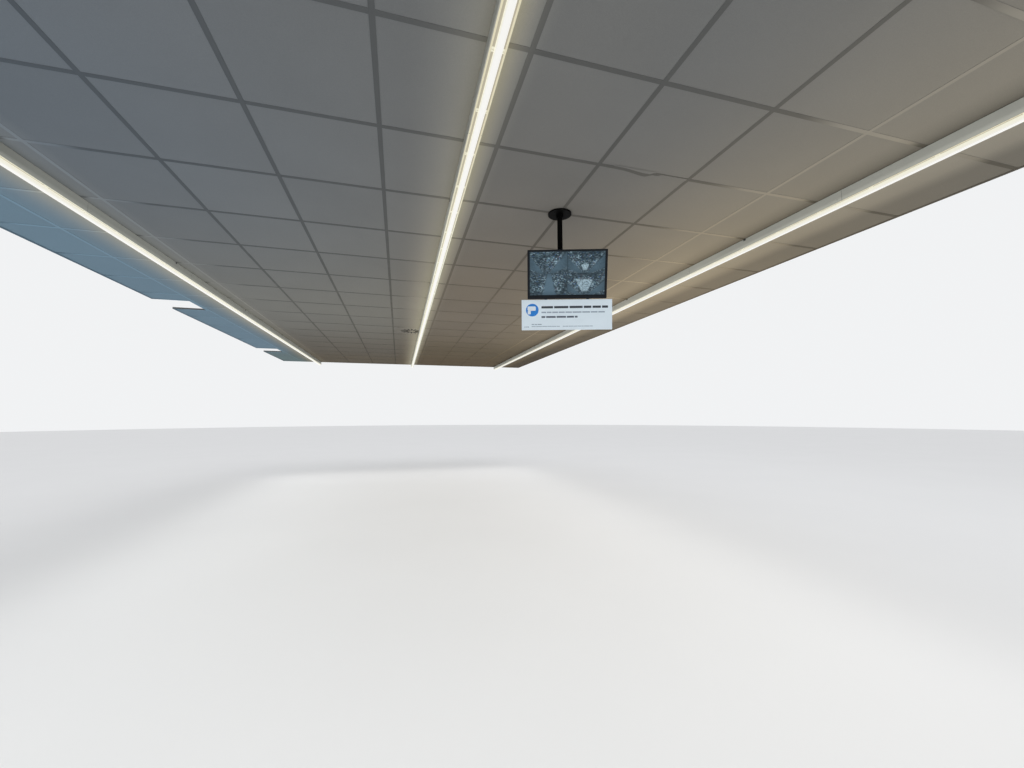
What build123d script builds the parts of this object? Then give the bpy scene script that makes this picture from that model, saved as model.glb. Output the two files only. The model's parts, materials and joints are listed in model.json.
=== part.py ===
from build123d import *
import os
from math import ceil, cos, radians, sin

# Suspended shop ceiling: lay-in tiles on a T-bar grid, three light lines, a swirl air
# diffuser and a screen with a notice board on a pole. Millimetres, Z up, Y along the hall.
# Each piece is made in hall coordinates, from the near corner at the window wall, and is
# moved at the end so that the origin lies on the middle hanger's fixing to the soffit.

# Hall
bay_length = 4000.0
bay_count = 3
hall_width = 6700.0
plenum_drop = 400.0
pier_width = 500.0
pier_depth = 410.0

# Grid
module = 625.0
window_column = 450.0
near_row = 445.0
narrowest_cut = 100.0
bar_width = 24.0
bar_height = 38.0
bar_flange = 1.2
bar_web = 1.5
bulb_width = 6.0
bulb_height = 8.0
bar_end_play = 3.0
butt_gap = 0.3

# Tiles
tile_play = 5.0
tile_thickness = 15.0
tile_wall_gap = 4.0

# Wall angles and the trims round the window piers
angle_leg = 24.0
angle_thickness = 1.5

# Hangers
hanger_first_row = 2
hanger_rows_apart = 5
hanger_width = 24.0
hanger_sheet = 1.0
clip_overlap = 7.0
clip_height = 90.0
strap_lap = 50.0
bracket_sheet = 1.5
bracket_drop = 40.0
bracket_reach = 15.0
bracket_lap = 30.0

# Light lines
light_first_line = 1
light_offset = 154.0
light_width = 68.0
light_height = 73.0
light_wall = 1.5
light_lip = 8.0
light_groove_rise = 25.0
light_groove_height = 3.0
light_groove_depth = 0.8
cover_sheet = 2.0
cover_root = 30.0
cover_face = 20.0
cover_chamfer = 5.0
cover_drop = 25.0
light_end_gap = 30.0
light_cap = 3.0
saddle_first_line = 3
saddle_lines_apart = 3
saddle_length = 24.0
saddle_top = 2.0
saddle_leg = 1.5
saddle_drop = 14.0

# Swirl air diffuser
diffuser_column = 5
diffuser_row = 11
swirl_sheet = 1.5
slot_count = 16
slot_inner_radius = 70.0
slot_outer_radius = 185.0
slot_width = 14.0
vane_width = 12.0
vane_sheet = 1.2
vane_angle = 35.0
plenum_margin = 16.0
plenum_height = 250.0
plenum_sheet = 1.0
spigot_radius = 99.0
spigot_length = 60.0
spigot_top_margin = 6.0

# Screen on its pole
screen_line_x = 6
screen_line_y = 3
flange_radius = 86.0
flange_thickness = 10.0
collar_radius = 27.0
collar_height = 26.0
pole_radius = 19.0
pole_wall = 2.0
pivot_drop = 481.0
pivot_reach = 45.0
head_width = 50.0
head_chamfer = 10.0
head_half_height = 30.0
head_floor = 5.0
running_gap = 0.3
knuckle_width = 30.0
knuckle_radius = 9.0
pivot_radius = 4.0
pivot_play = 0.1
ear_sheet = 3.0
ear_radius = 10.0
plate_sheet = 2.5
plate_width = 200.0
plate_height = 110.0
pivot_to_back = 17.0
screen_yaw = -17.5
screen_tilt = 16.0
screen_shift = 40.0
screen_width = 564.0
screen_height = 339.0
screen_rim = 20.0
screen_bulge = 25.0
bulge_width = 400.0
bulge_height = 230.0
bulge_draft = 18.0
bezel_side = 16.0
bezel_top = 13.0
bezel_bottom = 27.0
glass_recess = 2.0
glass_play = 0.3
board_width = 650.0
board_height = 218.0
board_sheet = 4.0
board_tilt = 6.0
board_drop = 5.5
strap_width = 20.0
strap_sheet = 3.0
strap_spacing = 300.0
strap_upper = 50.0
strap_lower = 130.0

# Levels and lines worked out from the sizes above
ceiling_z = -plenum_drop
bar_top = ceiling_z + bar_height
tile_bottom = ceiling_z + bar_flange
tile_top = tile_bottom + tile_thickness
hall_length = bay_count * bay_length
pier_centres = [bay_length * (bay + 0.5) for bay in range(bay_count)]


def grid_lines(first, span):
    """Places of the bars across one direction, none closer to the wall than a cut tile."""
    count = ceil((span - narrowest_cut - first) / module)
    return [first + module * step for step in range(count)]


lines_x = grid_lines(window_column, hall_width)
lines_y = grid_lines(near_row, hall_length)
edges_x = [0.0] + lines_x + [hall_width]
edges_y = [0.0] + lines_y + [hall_length]
main_lines = lines_x[0::2]
between_lines = lines_x[1::2]


def row_middle(row):
    return (edges_y[row] + edges_y[row + 1]) / 2


hanger_rows = range(hanger_first_row, len(edges_y) - 1, hanger_rows_apart)
hanger_places = [row_middle(row) for row in hanger_rows]
origin_x = main_lines[len(main_lines) // 2]
origin_y = hanger_places[len(hanger_places) // 2]


def block(x, y, z):
    """A box from its low and high limits along each axis."""
    middle = [(low + high) / 2 for low, high in (x, y, z)]
    return Pos(*middle) * Box(x[1] - x[0], y[1] - y[0], z[1] - z[0])


def bar(direction, outline, low, high):
    """A straight bar along X or Y, from an outline given across it and upwards."""
    if direction == "x":
        points = [(low, across, up) for across, up in outline]
        way = (1, 0, 0)
    else:
        points = [(across, low, up) for across, up in outline]
        way = (0, 1, 0)
    return extrude(make_face(Polyline(*points, close=True)), amount=high - low, dir=way)


def tee_outline(centre, bulb):
    """Section of an upside-down T, with or without a bulb along the top of its web."""
    half = bar_width / 2
    web = bar_web / 2
    outline = [(-half, ceiling_z), (half, ceiling_z), (half, tile_bottom), (web, tile_bottom)]
    if bulb:
        under_bulb = bar_top - bulb_height
        outline += [(web, under_bulb), (bulb_width / 2, under_bulb), (bulb_width / 2, bar_top)]
        outline += [(-bulb_width / 2, bar_top), (-bulb_width / 2, under_bulb), (-web, under_bulb)]
    else:
        outline += [(web, bar_top), (-web, bar_top)]
    outline += [(-web, tile_bottom), (-half, tile_bottom)]
    return [(centre + across, up) for across, up in outline]


def runner(line):
    """A T-bar that runs the whole length of the hall, its ends on the end angles."""
    return bar("y", tee_outline(line, True), bar_end_play, hall_length - bar_end_play)


def cross_tee(column, line):
    """A short T-bar between two runners, or between a runner and the wall angle."""
    inset = bar_width / 2 + butt_gap
    low = edges_x[column] + (inset if column else bar_end_play)
    at_wall = edges_x[column + 1] == hall_width
    high = edges_x[column + 1] - (bar_end_play if at_wall else inset)
    return bar("x", tee_outline(line, False), low, high)


def pier_box(centre, play, z):
    """The room that one window pier takes, larger by the play on the sides in the ceiling."""
    half = pier_width / 2 + play
    return block((-play, pier_depth + play), (centre - half, centre + half), z)


def meets_pier(line):
    reach = pier_width / 2 + angle_leg + bar_width / 2
    return any(abs(line - centre) < reach for centre in pier_centres)


def cross_tees(bay):
    """Every cross tee of one bay, without those that a pier stands in the way of."""
    tees = []
    for line in lines_y:
        if int(line // bay_length) != bay:
            continue
        first = 1 if meets_pier(line) else 0
        tees += [cross_tee(column, line) for column in range(first, len(edges_x) - 1)]
    return tees


def tile_span(edges, place):
    """Low and high edge of a tile between two bars, or between a bar and the wall."""
    at_wall = edges[place + 1] == edges[-1]
    low = edges[place] + (tile_play / 2 if place else tile_wall_gap)
    high = edges[place + 1] - (tile_wall_gap if at_wall else tile_play / 2)
    return low, high


def tile(column, row):
    z = (tile_bottom, tile_top)
    return block(tile_span(edges_x, column), tile_span(edges_y, row), z)


def rows_of_bay(bay):
    """Rows of tiles that begin in one bay, as its cross tees do."""
    return [row for row, edge in enumerate(edges_y[:-1]) if int(edge // bay_length) == bay]


def field_tiles(bay):
    """The tiles of one bay beside the window column, less the place of the diffuser."""
    places = [(c, r) for r in rows_of_bay(bay) for c in range(1, len(edges_x) - 1)]
    return [tile(c, r) for c, r in places if (c, r) != (diffuser_column, diffuser_row)]


def window_tiles(bay):
    """The narrow tiles of the window column, cut out round the pier."""
    pier = pier_box(pier_centres[bay], tile_wall_gap, (ceiling_z, bar_top))
    return [part for row in rows_of_bay(bay) for part in (tile(0, row) - pier).solids()]


def angle_outline(wall, inwards):
    """L section of a wall angle: its foot reaches into the hall below the bars."""
    foot = ceiling_z - angle_thickness
    face = wall + inwards * angle_thickness
    toe = wall + inwards * angle_leg
    top = foot + angle_leg
    return [(wall, foot), (toe, foot), (toe, ceiling_z), (face, ceiling_z), (face, top), (wall, top)]


def window_angles():
    """Lengths of wall angle at the windows, between the trims of the piers."""
    reach = pier_width / 2 + angle_leg + butt_gap
    starts = [angle_leg + butt_gap] + [centre + reach for centre in pier_centres]
    ends = [centre - reach for centre in pier_centres] + [hall_length - angle_leg - butt_gap]
    return [bar("y", angle_outline(0, 1), low, high) for low, high in zip(starts, ends)]


def wall_side_angle():
    low = angle_leg + butt_gap
    return bar("y", angle_outline(hall_width, -1), low, hall_length - low)


def end_angles():
    near = bar("x", angle_outline(0, 1), 0, hall_width)
    far = bar("x", angle_outline(hall_length, -1), 0, hall_width)
    return [near, far]


def pier_trim(centre):
    """Angle mitred and joined round the three sides of a pier."""
    foot = ceiling_z - angle_thickness
    flange = pier_box(centre, angle_leg, (foot, ceiling_z))
    upstand = pier_box(centre, angle_thickness, (foot, foot + angle_leg))
    pier = pier_box(centre, 0, (foot - angle_leg, bar_top))
    beyond_window = block((-module, 0), (0, hall_length), (foot - angle_leg, bar_top))
    return flange + upstand - pier - beyond_window


def hanger_clip(line, place):
    """Lower hanger plate, hooked on the bulb of a main runner."""
    face = line + bulb_width / 2
    low = bar_top - clip_overlap
    half = hanger_width / 2
    return block((face, face + hanger_sheet), (place - half, place + half), (low, low + clip_height))


def hanger_strap(line, place):
    """Upper hanger strap, pinned against the clip below and the bracket above."""
    face = line + bulb_width / 2 + hanger_sheet
    low = bar_top - clip_overlap + clip_height - strap_lap
    high = bracket_lap - bracket_drop
    half = hanger_width / 2
    return block((face, face + hanger_sheet), (place - half, place + half), (low, high))


def soffit_bracket(line, place):
    """Folded bracket whose flat top is fixed to the soffit."""
    face = line + bulb_width / 2 + 2 * hanger_sheet
    outer = face + bracket_sheet
    half = hanger_width / 2
    leg = block((face, outer), (place - half, place + half), (-bracket_drop, 0))
    top = block((line - bracket_reach, outer), (place - half, place + half), (-bracket_sheet, 0))
    return leg + top


def at_hangers(make):
    return [make(line, place) for line in main_lines for place in hanger_places]


light_last_line = len(lines_x) - 1
light_middle_line = (light_first_line + light_last_line) // 2
light_lines = [light_first_line, light_middle_line, light_last_line]
light_places = [lines_x[line] - light_offset for line in light_lines]
light_top = ceiling_z - saddle_top
light_bottom = light_top - light_height
light_near = light_end_gap + light_cap
light_far = hall_length - light_near


def mirrored(outline):
    """The same outline on the other side of the middle, in the order that closes it."""
    return [(-across, up) for across, up in reversed(outline)]


def light_housing(centre):
    """Drawn channel, grooved along its sides, open below between two lips for the cover."""
    half = light_width / 2
    inner = half - light_wall
    lip = half - light_lip
    shelf = light_bottom + light_wall
    roof = light_top - light_wall
    groove = half - light_groove_depth
    groove_low = light_bottom + light_groove_rise
    groove_high = groove_low + light_groove_height
    foot = [(lip, shelf), (lip, light_bottom), (half, light_bottom)]
    side = [(half, groove_low), (groove, groove_low), (groove, groove_high), (half, groove_high)]
    right = foot + side + [(half, light_top)]
    inside = [(-inner, shelf), (-inner, roof), (inner, roof), (inner, shelf)]
    outline = right + mirrored(right) + inside
    return bar("y", [(centre + across, up) for across, up in outline], light_near, light_far)


def cover_rib(root):
    """Right half of the deep rib in the middle of the cover, up to the level of its root."""
    face = light_bottom + light_wall - cover_drop
    edge = cover_root / 2
    return [(cover_face / 2, face), (edge, face + cover_chamfer), (edge, root)]


def light_diffuser(centre):
    """Opal cover: two flat wings on the lips of the housing and a deep rib between them."""
    wing = light_width / 2 - light_wall - butt_gap
    shelf = light_bottom + light_wall
    right = cover_rib(shelf) + [(wing, shelf), (wing, shelf + cover_sheet)]
    outline = [(centre + across, up) for across, up in right + mirrored(right)]
    return bar("y", outline, light_near, light_far)


def light_end_cap(centre, start):
    """Moulded plate with the outline of housing and cover together."""
    half = light_width / 2
    right = cover_rib(light_bottom) + [(half, light_bottom), (half, light_top)]
    outline = [(centre + across, up) for across, up in right + mirrored(right)]
    return bar("y", outline, start, start + light_cap)


def light_end_caps():
    starts = [light_near - light_cap, light_far]
    return [light_end_cap(centre, start) for centre in light_places for start in starts]


def light_saddle(centre, line):
    """Saddle between a cross tee and the housing, with a leg down each side of it."""
    inner = light_width / 2
    outer = inner + saddle_leg
    foot = light_top - saddle_drop
    right = [(inner, light_top), (inner, foot), (outer, foot), (outer, ceiling_z)]
    left = [(-outer, ceiling_z), (-outer, foot), (-inner, foot), (-inner, light_top)]
    outline = [(centre + across, up) for across, up in right + left]
    half = saddle_length / 2
    return bar("y", outline, line - half, line + half)


def light_saddles():
    lines = lines_y[saddle_first_line::saddle_lines_apart]
    return [light_saddle(centre, line) for centre in light_places for line in lines]


diffuser_x = tile_span(edges_x, diffuser_column)
diffuser_y = tile_span(edges_y, diffuser_row)
diffuser_middle = (sum(diffuser_x) / 2, sum(diffuser_y) / 2)
swirl_top = tile_bottom + swirl_sheet


def swirl_panel():
    """Square sheet with a ring of radial slots, a turned vane fixed across each slot."""
    face = block(diffuser_x, diffuser_y, (tile_bottom, swirl_top))
    slot_length = slot_outer_radius - slot_inner_radius
    slot_middle = (slot_outer_radius + slot_inner_radius) / 2
    centre = Pos(*diffuser_middle, 0)
    turns = [Rot(0, 0, 360 / slot_count * step) for step in range(slot_count)]
    slot = Pos(slot_middle, 0, tile_bottom) * Box(slot_length, slot_width, bar_height)
    face -= [centre * turn * slot for turn in turns]
    lean = radians(vane_angle)
    rise = (vane_width * sin(lean) + vane_sheet * cos(lean)) / 2
    vane = Rot(vane_angle, 0, 0) * Box(slot_length + vane_sheet, vane_width, vane_sheet)
    vane = Pos(slot_middle, 0, tile_bottom + rise) * vane
    for turn in turns:
        face += centre * turn * vane
    return face


plenum_x = (diffuser_x[0] + plenum_margin, diffuser_x[1] - plenum_margin)
plenum_y = (diffuser_y[0] + plenum_margin, diffuser_y[1] - plenum_margin)
plenum_top = swirl_top + plenum_height
spigot_z = plenum_top - spigot_top_margin - spigot_radius
spigot_middle = (diffuser_middle[0], plenum_y[1], spigot_z)


def plenum_box():
    """Sheet box over the swirl panel, open below, with a round spigot on its far side."""
    inner_x = (plenum_x[0] + plenum_sheet, plenum_x[1] - plenum_sheet)
    inner_y = (plenum_y[0] + plenum_sheet, plenum_y[1] - plenum_sheet)
    outside = block(plenum_x, plenum_y, (swirl_top, plenum_top))
    inside = block(inner_x, inner_y, (swirl_top, plenum_top - plenum_sheet))
    side = Pos(*spigot_middle) * Rot(-90, 0, 0)
    on_side = (Align.CENTER, Align.CENTER, Align.MIN)
    tube = side * Cylinder(spigot_radius, spigot_length, align=on_side)
    bore = side * Cylinder(spigot_radius - plenum_sheet, 3 * spigot_length)
    return outside - inside + tube - bore


pole_x = lines_x[screen_line_x]
pole_y = lines_y[screen_line_y]
pole_bottom = ceiling_z - pivot_drop - head_half_height + head_floor + running_gap
pivot_z = ceiling_z - pivot_drop
pole_top = ceiling_z - flange_thickness


def disc(radius, low, high):
    """A turned disc about the pole's axis."""
    up = (Align.CENTER, Align.CENTER, Align.MIN)
    return Pos(pole_x, pole_y, low) * Cylinder(radius, high - low, align=up)


def ceiling_flange():
    """Round plate against the grid crossing, with a collar below that grips the pole."""
    collar_low = pole_top - collar_height
    collar = disc(collar_radius, collar_low, pole_top) - disc(pole_radius, collar_low, pole_top)
    return disc(flange_radius, pole_top, ceiling_z) + collar


def screen_pole():
    tube = disc(pole_radius, pole_bottom, pole_top)
    return tube - disc(pole_radius - pole_wall, pole_bottom, pole_top)


def turned(shape):
    """From the plain pose, facing the near end, to the yaw that the pole's head has."""
    return Pos(pole_x, pole_y, pivot_z) * Rot(0, 0, screen_yaw) * shape


def tipped(shape):
    """From the plain pose about the tilt pivot to the screen's own yaw and tilt."""
    return turned(Pos(0, -pivot_reach, 0) * Rot(screen_tilt, 0, 0) * shape)


def crosswise(radius, length):
    """A round bar along X, centred on the tilt pivot."""
    return Rot(0, 90, 0) * Cylinder(radius, length)


def swivel_head():
    """Block that turns on the pole's end, with a knuckle and its pivot bolt in front."""
    half = head_half_height
    body = Box(head_width, head_width, 2 * half)
    body = chamfer(body.edges().filter_by(Axis.Z), head_chamfer)
    neck = block(
        (-knuckle_width / 2, knuckle_width / 2), (-pivot_reach, 0), (-knuckle_radius, knuckle_radius)
    )
    knuckle = Pos(0, -pivot_reach, 0) * crosswise(knuckle_radius, knuckle_width)
    bolt_length = knuckle_width + 4 * ear_sheet
    bolt = Pos(0, -pivot_reach, 0) * crosswise(pivot_radius, bolt_length)
    bore_low = head_floor - half
    bore = Pos(0, 0, (bore_low + 2 * half) / 2) * Cylinder(
        pole_radius + running_gap, 2 * half - bore_low
    )
    return turned(body + neck + knuckle + bolt - bore)


def tilt_bracket():
    """Plate behind the screen with two ears on the pivot bolt."""
    front = -pivot_to_back
    plate_x = (screen_shift / 2 - plate_width / 2, screen_shift / 2 + plate_width / 2)
    plate_z = (-plate_height / 2, plate_height / 2)
    bracket = block(plate_x, (front, front + plate_sheet), plate_z)
    inner = knuckle_width / 2 + running_gap
    for side in (-1, 1):
        near, far = sorted((side * inner, side * (inner + ear_sheet)))
        ear = block((near, far), (front + plate_sheet, 0), (-ear_radius, ear_radius))
        round_end = Pos((near + far) / 2, 0, 0) * crosswise(ear_radius, ear_sheet)
        bracket += ear + round_end
    bracket -= crosswise(pivot_radius + pivot_play, plate_width)
    return tipped(bracket)


screen_back = -pivot_to_back
screen_front = screen_back - screen_bulge - screen_rim
screen_rear_of_rim = screen_front + screen_rim
glass_x = (
    screen_shift - screen_width / 2 + bezel_side,
    screen_shift + screen_width / 2 - bezel_side,
)
glass_z = (-screen_height / 2 + bezel_bottom, screen_height / 2 - bezel_top)


def screen_case():
    """Flat rim with a drafted bulge behind it and a shallow recess for the glass."""
    rim_x = (screen_shift - screen_width / 2, screen_shift + screen_width / 2)
    rim_z = (-screen_height / 2, screen_height / 2)
    rim = block(rim_x, (screen_front, screen_rear_of_rim), rim_z)
    base = Plane(origin=(screen_shift, screen_rear_of_rim, 0), x_dir=(-1, 0, 0), z_dir=(0, 1, 0))
    top = base.offset(screen_bulge)
    wide = base * Rectangle(bulge_width, bulge_height)
    narrow = top * Rectangle(bulge_width - 2 * bulge_draft, bulge_height - 2 * bulge_draft)
    bulge = loft([wide, narrow])
    recess = block(glass_x, (screen_front, screen_front + glass_recess), glass_z)
    return tipped(rim + bulge - recess)


def screen_glass():
    x = (glass_x[0] + glass_play, glass_x[1] - glass_play)
    z = (glass_z[0] + glass_play, glass_z[1] - glass_play)
    return tipped(block(x, (screen_front, screen_front + glass_recess), z))


strap_front = screen_rear_of_rim
board_top = -screen_height / 2 - board_drop
board_turn = Pos(0, strap_front, board_top) * Rot(board_tilt - screen_tilt, 0, 0)


def board_straps():
    """Two bent flat bars from the back of the screen down the back of the board."""
    straps = []
    for side in (-1, 1):
        middle = screen_shift + side * strap_spacing / 2
        x = (middle - strap_width / 2, middle + strap_width / 2)
        high = board_top + strap_upper
        upper = block(x, (strap_front, strap_front + strap_sheet), (board_top, high))
        lower = board_turn * block(x, (0, strap_sheet), (-strap_lower, 0))
        wedge = Pos(middle, strap_front, board_top) * crosswise(strap_sheet, strap_width)
        behind = block(x, (strap_front, strap_front + 2 * strap_sheet), (board_top - strap_sheet, board_top))
        straps.append(tipped(upper + lower + (wedge & behind)))
    return straps


def notice_board():
    """Plain sheet in front of the straps, a little steeper than the screen."""
    half = board_width / 2
    x = (screen_shift - half, screen_shift + half)
    return tipped(board_turn * block(x, (-board_sheet, 0), (-board_height, 0)))


def write(name, *solids):
    """One STEP file for one named piece, or for like pieces that do not touch."""
    home = Pos(-origin_x, -origin_y, 0)
    placed = [home * solid for solid in solids]
    shape = placed[0] if len(placed) == 1 else Compound(children=placed)
    export_step(shape, f"parts/{name}.step")


def main():
    os.makedirs("parts", exist_ok=True)
    for number, line in enumerate(main_lines, 1):
        write(f"main_runner_{number}", runner(line))
    write("between_runners", *[runner(line) for line in between_lines])
    for bay in range(bay_count):
        write(f"cross_tees_bay_{bay + 1}", *cross_tees(bay))
        write(f"tiles_bay_{bay + 1}", *field_tiles(bay))
        write(f"window_tiles_bay_{bay + 1}", *window_tiles(bay))
    write("wall_angle_window_side", *window_angles())
    write("wall_angle_wall_side", wall_side_angle())
    write("wall_angles_at_ends", *end_angles())
    write("pier_trims", *[pier_trim(centre) for centre in pier_centres])
    write("hanger_clips", *at_hangers(hanger_clip))
    write("hanger_straps", *at_hangers(hanger_strap))
    write("soffit_brackets", *at_hangers(soffit_bracket))
    for name, centre in zip(("window_side", "centre", "wall_side"), light_places):
        write(f"light_housing_{name}", light_housing(centre))
        write(f"light_diffuser_{name}", light_diffuser(centre))
    write("light_end_caps", *light_end_caps())
    write("light_saddles", *light_saddles())
    write("swirl_panel", swirl_panel())
    write("plenum_box", plenum_box())
    write("ceiling_flange", ceiling_flange())
    write("screen_pole", screen_pole())
    write("swivel_head", swivel_head())
    write("tilt_bracket", tilt_bracket())
    write("screen_case", screen_case())
    write("screen_glass", screen_glass())
    write("board_straps", *board_straps())
    write("notice_board", notice_board())


main()
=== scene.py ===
# %% [markdown]
# # A suspended shop ceiling, dressed in Blender
# The model is a ceiling of lay-in tiles on hung T-bars, with three light lines, an air
# diffuser, and a screen with a notice board on a pole. Its real shapes come ready made, as
# a fixed frame of named nodes. This lesson gives them their finishes and adds the small
# forms that a metal worker or an electrician would add. The first cell loads the frame.

import json
import math

import bpy
import numpy as np
from mathutils import Matrix, Vector


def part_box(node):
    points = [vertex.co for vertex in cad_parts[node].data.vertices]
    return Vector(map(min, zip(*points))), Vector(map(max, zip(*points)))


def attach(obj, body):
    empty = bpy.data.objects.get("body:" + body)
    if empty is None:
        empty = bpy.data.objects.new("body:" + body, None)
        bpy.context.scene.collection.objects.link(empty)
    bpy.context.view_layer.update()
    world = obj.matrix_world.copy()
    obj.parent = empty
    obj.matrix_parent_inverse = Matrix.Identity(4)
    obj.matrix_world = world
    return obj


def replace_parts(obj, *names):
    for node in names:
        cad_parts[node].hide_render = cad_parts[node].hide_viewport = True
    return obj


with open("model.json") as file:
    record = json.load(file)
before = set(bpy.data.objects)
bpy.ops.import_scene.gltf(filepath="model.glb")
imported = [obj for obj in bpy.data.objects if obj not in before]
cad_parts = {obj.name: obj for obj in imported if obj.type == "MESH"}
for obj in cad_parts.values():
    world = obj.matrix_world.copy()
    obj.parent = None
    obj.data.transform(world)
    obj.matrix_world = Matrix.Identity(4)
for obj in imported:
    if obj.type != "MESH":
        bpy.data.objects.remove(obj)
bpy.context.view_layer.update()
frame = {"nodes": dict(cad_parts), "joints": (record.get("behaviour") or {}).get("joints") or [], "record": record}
nodes = frame["nodes"]

# %% [markdown]
# ## The camera
# A render is only worth comparing with a photograph when both are taken from one place.
# The place, the turn and the lens were found from the ceiling's own grid, whose square
# module is known. The camera looks along its local -Z, so it is first tipped up to the
# horizon, then turned.

# %% Camera
image_width = 1024
focal_pixels = 410.6
sensor = 36.0
turn_right = 15.34
look_up = 4.32
lean = -0.13
eye = Vector((0.125, -8.0625, -1.8912))

lens_data = bpy.data.cameras.new("shop_view")
lens_data.sensor_width = sensor
lens_data.lens = focal_pixels * sensor / image_width
lens_data.clip_end = 200
camera = bpy.data.objects.new("shop_view", lens_data)
turn = Matrix.Rotation(math.radians(-turn_right), 4, "Z")
tip = Matrix.Rotation(math.radians(90 + look_up), 4, "X")
roll = Matrix.Rotation(math.radians(lean), 4, "Z")
camera.matrix_world = Matrix.Translation(eye) @ turn @ tip @ roll
bpy.context.scene.collection.objects.link(camera)
bpy.context.scene.camera = camera
print("lens", round(lens_data.lens, 2), "mm")

# %% [markdown]
# ## Measures read from the frame
# Every place below is worked out from the nodes, so the dressing follows the ceiling if
# its sizes change. The bars give the module and the lines of the grid. The tilt hinge gives
# the screen's own axes: in them the screen stands upright, faces -Y and is easy to measure.

# %% Measures
mm = 0.001


def centre_of(node):
    low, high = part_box(node)
    return (low + high) / 2


runner_low, runner_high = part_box("main_runner_1")
bar_width = runner_high.x - runner_low.x
ceiling_z = runner_low.z
bar_top = runner_high.z
first_x = centre_of("main_runner_1").x
module = (centre_of("main_runner_2").x - first_x) / 2
first_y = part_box("cross_tees_bay_1")[0].y + bar_width / 2
hall_low, hall_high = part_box("wall_angles_at_ends")
lines_x = np.arange(first_x, hall_high.x - module / 6, module)
lines_y = np.arange(first_y, hall_high.y - module / 6, module)
lights = ["window_side", "centre", "wall_side"]
light_boxes = {name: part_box(f"light_housing_{name}") for name in lights}
print("module", round(module, 4), "lines", len(lines_x), "across", len(lines_y), "along")

screen_tilt = 16.0
board_tilt = 6.0
tilt_joint = next(joint for joint in frame["joints"] if joint["name"] == "screen_tilt")
swivel_joint = next(joint for joint in frame["joints"] if joint["name"] == "screen_swivel")
pivot = Vector(tilt_joint["pos_m"])
pole = Vector(swivel_joint["pos_m"])
screen_yaw = math.atan2(tilt_joint["axis"][1], tilt_joint["axis"][0])
head_axes = Matrix.Translation(pivot) @ Matrix.Rotation(screen_yaw, 4, "Z")
screen_axes = head_axes @ Matrix.Rotation(math.radians(screen_tilt), 4, "X")
print("screen yaw", round(math.degrees(screen_yaw), 2))

# %% [markdown]
# ## Shapes as arrays
# A mesh here is three arrays: points, four-sided faces and three-sided faces. Computing
# them whole with numpy is fast, and the same few ways of making a shape serve every small
# part: rings joined into a skin, a folded sheet, a turned form, and a tube closed on itself.

# %% Rings, copies and moves


def skin(rings):
    """Each ring of points joins the next one, and both end rings close on their middle."""
    count, around = rings.shape[:2]
    index = np.arange(count * around).reshape(count, around)
    ahead = np.roll(index, -1, axis=1)
    quads = np.stack([index[:-1], ahead[:-1], ahead[1:], index[1:]], axis=-1).reshape(-1, 4)
    hub = np.full(around, count * around)
    tris = np.concatenate([
        np.stack([ahead[0], index[0], hub], axis=-1),
        np.stack([index[-1], ahead[-1], hub + 1], axis=-1),
    ])
    points = np.concatenate([rings.reshape(-1, 3), rings[[0, -1]].mean(axis=1)])
    return points, quads, tris


def loop_skin(rings):
    """Rings joined round, the last one back to the first, as on a torus: no ends to close."""
    count, around = rings.shape[:2]
    index = np.arange(count * around).reshape(count, around)
    ahead = np.roll(index, -1, axis=1)
    below = np.roll(index, -1, axis=0)
    both = np.roll(ahead, -1, axis=0)
    quads = np.stack([index, ahead, both, below], axis=-1).reshape(-1, 4)
    return rings.reshape(-1, 3), quads, np.zeros((0, 3), int)


def joined(*shapes):
    """Several shapes as one: their points end to end, their faces counted on."""
    starts = np.cumsum([0] + [len(shape[0]) for shape in shapes[:-1]])
    points = np.concatenate([shape[0] for shape in shapes])
    quads = np.concatenate([shape[1] + start for shape, start in zip(shapes, starts)])
    tris = np.concatenate([shape[2] + start for shape, start in zip(shapes, starts)])
    return points, quads, tris


def repeated(shape, places):
    """One copy of the shape at each place: every point plus every place, as one array."""
    points, quads, tris = shape
    places = np.asarray(places, float).reshape(-1, 1, 3)
    starts = (np.arange(len(places)) * len(points)).reshape(-1, 1, 1)
    return (
        (points[None] + places).reshape(-1, 3),
        (quads[None] + starts).reshape(-1, 4),
        (tris[None] + starts).reshape(-1, 3),
    )


def moved(shape, matrix):
    """The shape turned and moved: points times the matrix's turn, plus its place."""
    turn = np.array(matrix.to_3x3())
    return shape[0] @ turn.T + np.array(matrix.translation), shape[1], shape[2]


def grid_spots(xs, ys, z):
    """Every crossing of the given lines, at one height."""
    across, along = np.meshgrid(xs, ys, indexing="ij")
    return np.stack([across.ravel(), along.ravel(), np.full(across.size, z)], axis=1)


print("shape helpers ready")

# %% [markdown]
# A new piece must point its faces outwards, or light and print shops see it inside out. The
# volume that the faces enclose tells: it is the sum of the little tetrahedra between each
# triangle and the origin, and when it comes out negative the mesh is turned round.

# %% Make a piece
sharpest_soft_edge = math.radians(35)


def signed_volume(mesh):
    """The sum over all triangles of a . (b x c) / 6."""
    mesh.calc_loop_triangles()
    corners = np.zeros(len(mesh.loop_triangles) * 3, int)
    mesh.loop_triangles.foreach_get("vertices", corners)
    places = np.zeros(len(mesh.vertices) * 3)
    mesh.vertices.foreach_get("co", places)
    a, b, c = np.moveaxis(places.reshape(-1, 3)[corners.reshape(-1, 3)], 1, 0)
    return float((a * np.cross(b, c)).sum()) / 6


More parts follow.
